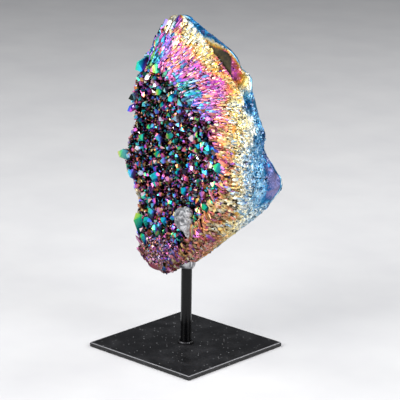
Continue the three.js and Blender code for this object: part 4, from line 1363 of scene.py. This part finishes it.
def wrinkles(points, width):
    # 0 along the bottom of a fold, towards 1 between the folds
    run = (points @ np.array((0.5, 0.2, 0.3))) / width + 1.9 * lumpiness(points, 5.5)
    crossRun = (points @ np.array((-0.2, 0.2, 0.6))) / width + 1.6 * lumpiness(points + 13, 4)
    waves = 0.5 + 0.5 * np.sin(2 * math.pi * run)
    crossWaves = 0.5 + 0.5 * np.sin(2 * math.pi * crossRun)
    cloud = 0.5 * lumpiness(points + 31, 1.2) + 0.35 * lumpiness(points + 47, 4)
    return np.clip(0.55 * waves + 0.45 * crossWaves + cloud, 0, 1)


def resinPatch(material):
    deselect()
    bpy.ops.mesh.primitive_ico_sphere_add(subdivisions=patch["levels"], radius=1)
    piece = bpy.context.object
    piece.name = piece.data.name = "resin_patch"
    mesh = piece.data
    at = np.array([vertex.co for vertex in mesh.vertices], float)
    heights, *outline = np.array(patchOutline, float).T
    shift, width, forwards = (np.interp(at[:, 2], heights, values)[:, None] for values in outline)
    place = at * np.array(patch["half"], float)
    place[:, :2] *= width
    place = place + np.array(patch["middle"]) + levelAcross * shift + viewAxes()[1] * forwards
    folds = wrinkles(place, patch["wrinkle"])
    lump = 0.9 * lumpiness(place, 4.5) + 0.9 * folds - 0.6
    place = place + unit(at) * lump[:, None]
    # painted shade: the patch's left and top are darker, put into the fold attribute
    toLight = smooth(-0.9, 0.4, at @ levelAcross - 0.5 * at[:, 2])  # its left and top are darker
    setAttribute(mesh, "fold", "POINT", folds * (0.4 + 0.4 * toLight) + 0.25 * toLight)
    mesh.vertices.foreach_set("co", (place * mm).astype(np.float32).ravel())
    mesh.update()
    bpy.ops.object.shade_smooth()
    dress(piece, "filler_patch", material)


# Resin round the post: its ring, stretched in height, and how far and which way it spills over the stone
collar = {
    "height": 65.7, "ring": 5.4, "thickness": 1.25, "stretch": 3.2, "spill": 6, "spillWay": (0.35, -0.94),
    "wrinkle": 2.2, "bulgeFrom": 4.3, "bulgeTo": 6.4,
}


def resinCollar(material):
    # ring of resin round the post, which spills over the stone on the side of the crystal face
    piece = ringRound("resin_collar", collar["ring"], collar["thickness"], (96, 32), collar["height"])
    mesh = piece.data
    at = np.array([vertex.co for vertex in mesh.vertices], float) / mm
    around = np.linalg.norm(at[:, :2], axis=1)
    folds = wrinkles(at, collar["wrinkle"])
    outside = smooth(collar["bulgeFrom"], collar["bulgeTo"], around)
    spill = np.clip(at[:, :2] @ np.array(collar["spillWay"]) / around, 0, 1) ** 3 * collar["spill"]
    push = (0.5 * lumpiness(at, 3) + 0.8 * folds - 0.5 + spill) * outside
    at[:, :2] *= ((around + push) / around)[:, None]
    at[:, 2] = collar["height"] + (at[:, 2] - collar["height"]) * collar["stretch"] + 0.5 * push
    setAttribute(mesh, "fold", "POINT", folds)
    mesh.vertices.foreach_set("co", (at * mm).astype(np.float32).ravel())
    mesh.update()
    dress(piece, "glue_collar", material)


def studioCamera():
    place, back, right, up = viewAxes()
    data = bpy.data.cameras.new("studio_camera")
    data.sensor_width = view["sensor"]
    data.lens = view["focal"] * view["sensor"] / view["frame"]
    data.clip_end = 50
    camera = bpy.data.objects.new("studio_camera", data)
    camera.matrix_world = Matrix.Translation(place * mm) @ Matrix(np.array([right, up, back]).T).to_4x4()
    bpy.context.scene.collection.objects.link(camera)
    bpy.context.scene.camera = camera


# Area lights: name, azimuth, elevation, distance in m, width and height in m, power
lamps = [
    ("key_box", -10, 34, 1.3, (0.9, 0.8), 20),
    ("fill_box", 95, 32, 1.4, (0.8, 0.8), 17),
    ("top_box", 40, 80, 1.4, (1.0, 1.0), 6),
    ("rim_box", 160, 40, 1.4, (0.9, 0.9), 9),
    ("edge_box", -67, 45, 1.4, (0.7, 0.7), 6),
]
lightAim = (0, 0, 0.13)
air = {"colour": (0.9, 0.93, 1, 1), "strength": 0.12}


def softbox(name, azimuth, elevation, distance, size, power):
    # area light that looks at the stone from a side of the object
    way = Vector(wayTowards(math.radians(azimuth), math.radians(elevation)))
    data = bpy.data.lights.new(name, "AREA")
    data.shape = "RECTANGLE"
    data.size, data.size_y = size
    data.energy = power
    lamp = bpy.data.objects.new(name, data)
    lamp.location = Vector(lightAim) + way * distance
    lamp.rotation_euler = way.to_track_quat("Z", "Y").to_euler()
    bpy.context.scene.collection.objects.link(lamp)


def studio():
    for lamp in lamps:
        softbox(*lamp)
    world = bpy.data.worlds.new("studio_air")
    world.use_nodes = True
    background = world.node_tree.nodes["Background"]
    background.inputs["Color"].default_value = air["colour"]
    background.inputs["Strength"].default_value = air["strength"]
    bpy.context.scene.world = world
    bpy.context.scene.view_settings.view_transform = "Standard"


def studioFloor():
    deselect()
    bpy.ops.mesh.primitive_plane_add(size=16, location=(0, 0, 0))
    floor = bpy.context.object
    floor.name = floor.data.name = "studio_floor"
    sheet = Sheet("pale_floor")
    tone = sheet.ramp(sheet.noise(60, 3), [(0.3, srgb((190, 190, 192))), (0.7, srgb((196, 196, 197)))])
    finish = {"Base Color": tone, "Roughness": 0.9, "Specular IOR Level": 0.1}
    floor.data.materials.append(sheet.finish(finish))


studioCamera()
studio()
studioFloor()
print("studio")

films = {look["name"]: auraFilm(look) for look in (crystalLook, columnLook, grainLook)}
stoneCore(stoneFilm())
points = [quartzShape(number, "chisel") for number in range(7)]
points += [quartzShape(number, "blunt") for number in range(7, 9)]
rods = [quartzShape(number, "rod") for number in range(20, 26)]
blocks = [blockShape(number, 5) for number in range(6)]
print("templates", [len(shape["totals"]) for shape in points + rods + blocks])
druzePoints(mainDruze, points, films["crystal_film"])
druzePoints(smallDruze, points, films["crystal_film"])
largePoints(points, films["crystal_film"])
for layer in quartzLayers:
    quartzColumns(layer, rods, films)
for layer in grainLayers:
    grainsOf(layer, blocks, films["grain_film"])

postRod(blackSteel(rodLook))
weldBead(blackSteel(weldLook))
resin = greyResin("filler_resin")
resinPatch(resin)
resinCollar(resin)
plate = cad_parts["base_plate"]
plate.data.materials.clear()
plate.data.materials.append(blackSteel(plateLook))
print("stand")
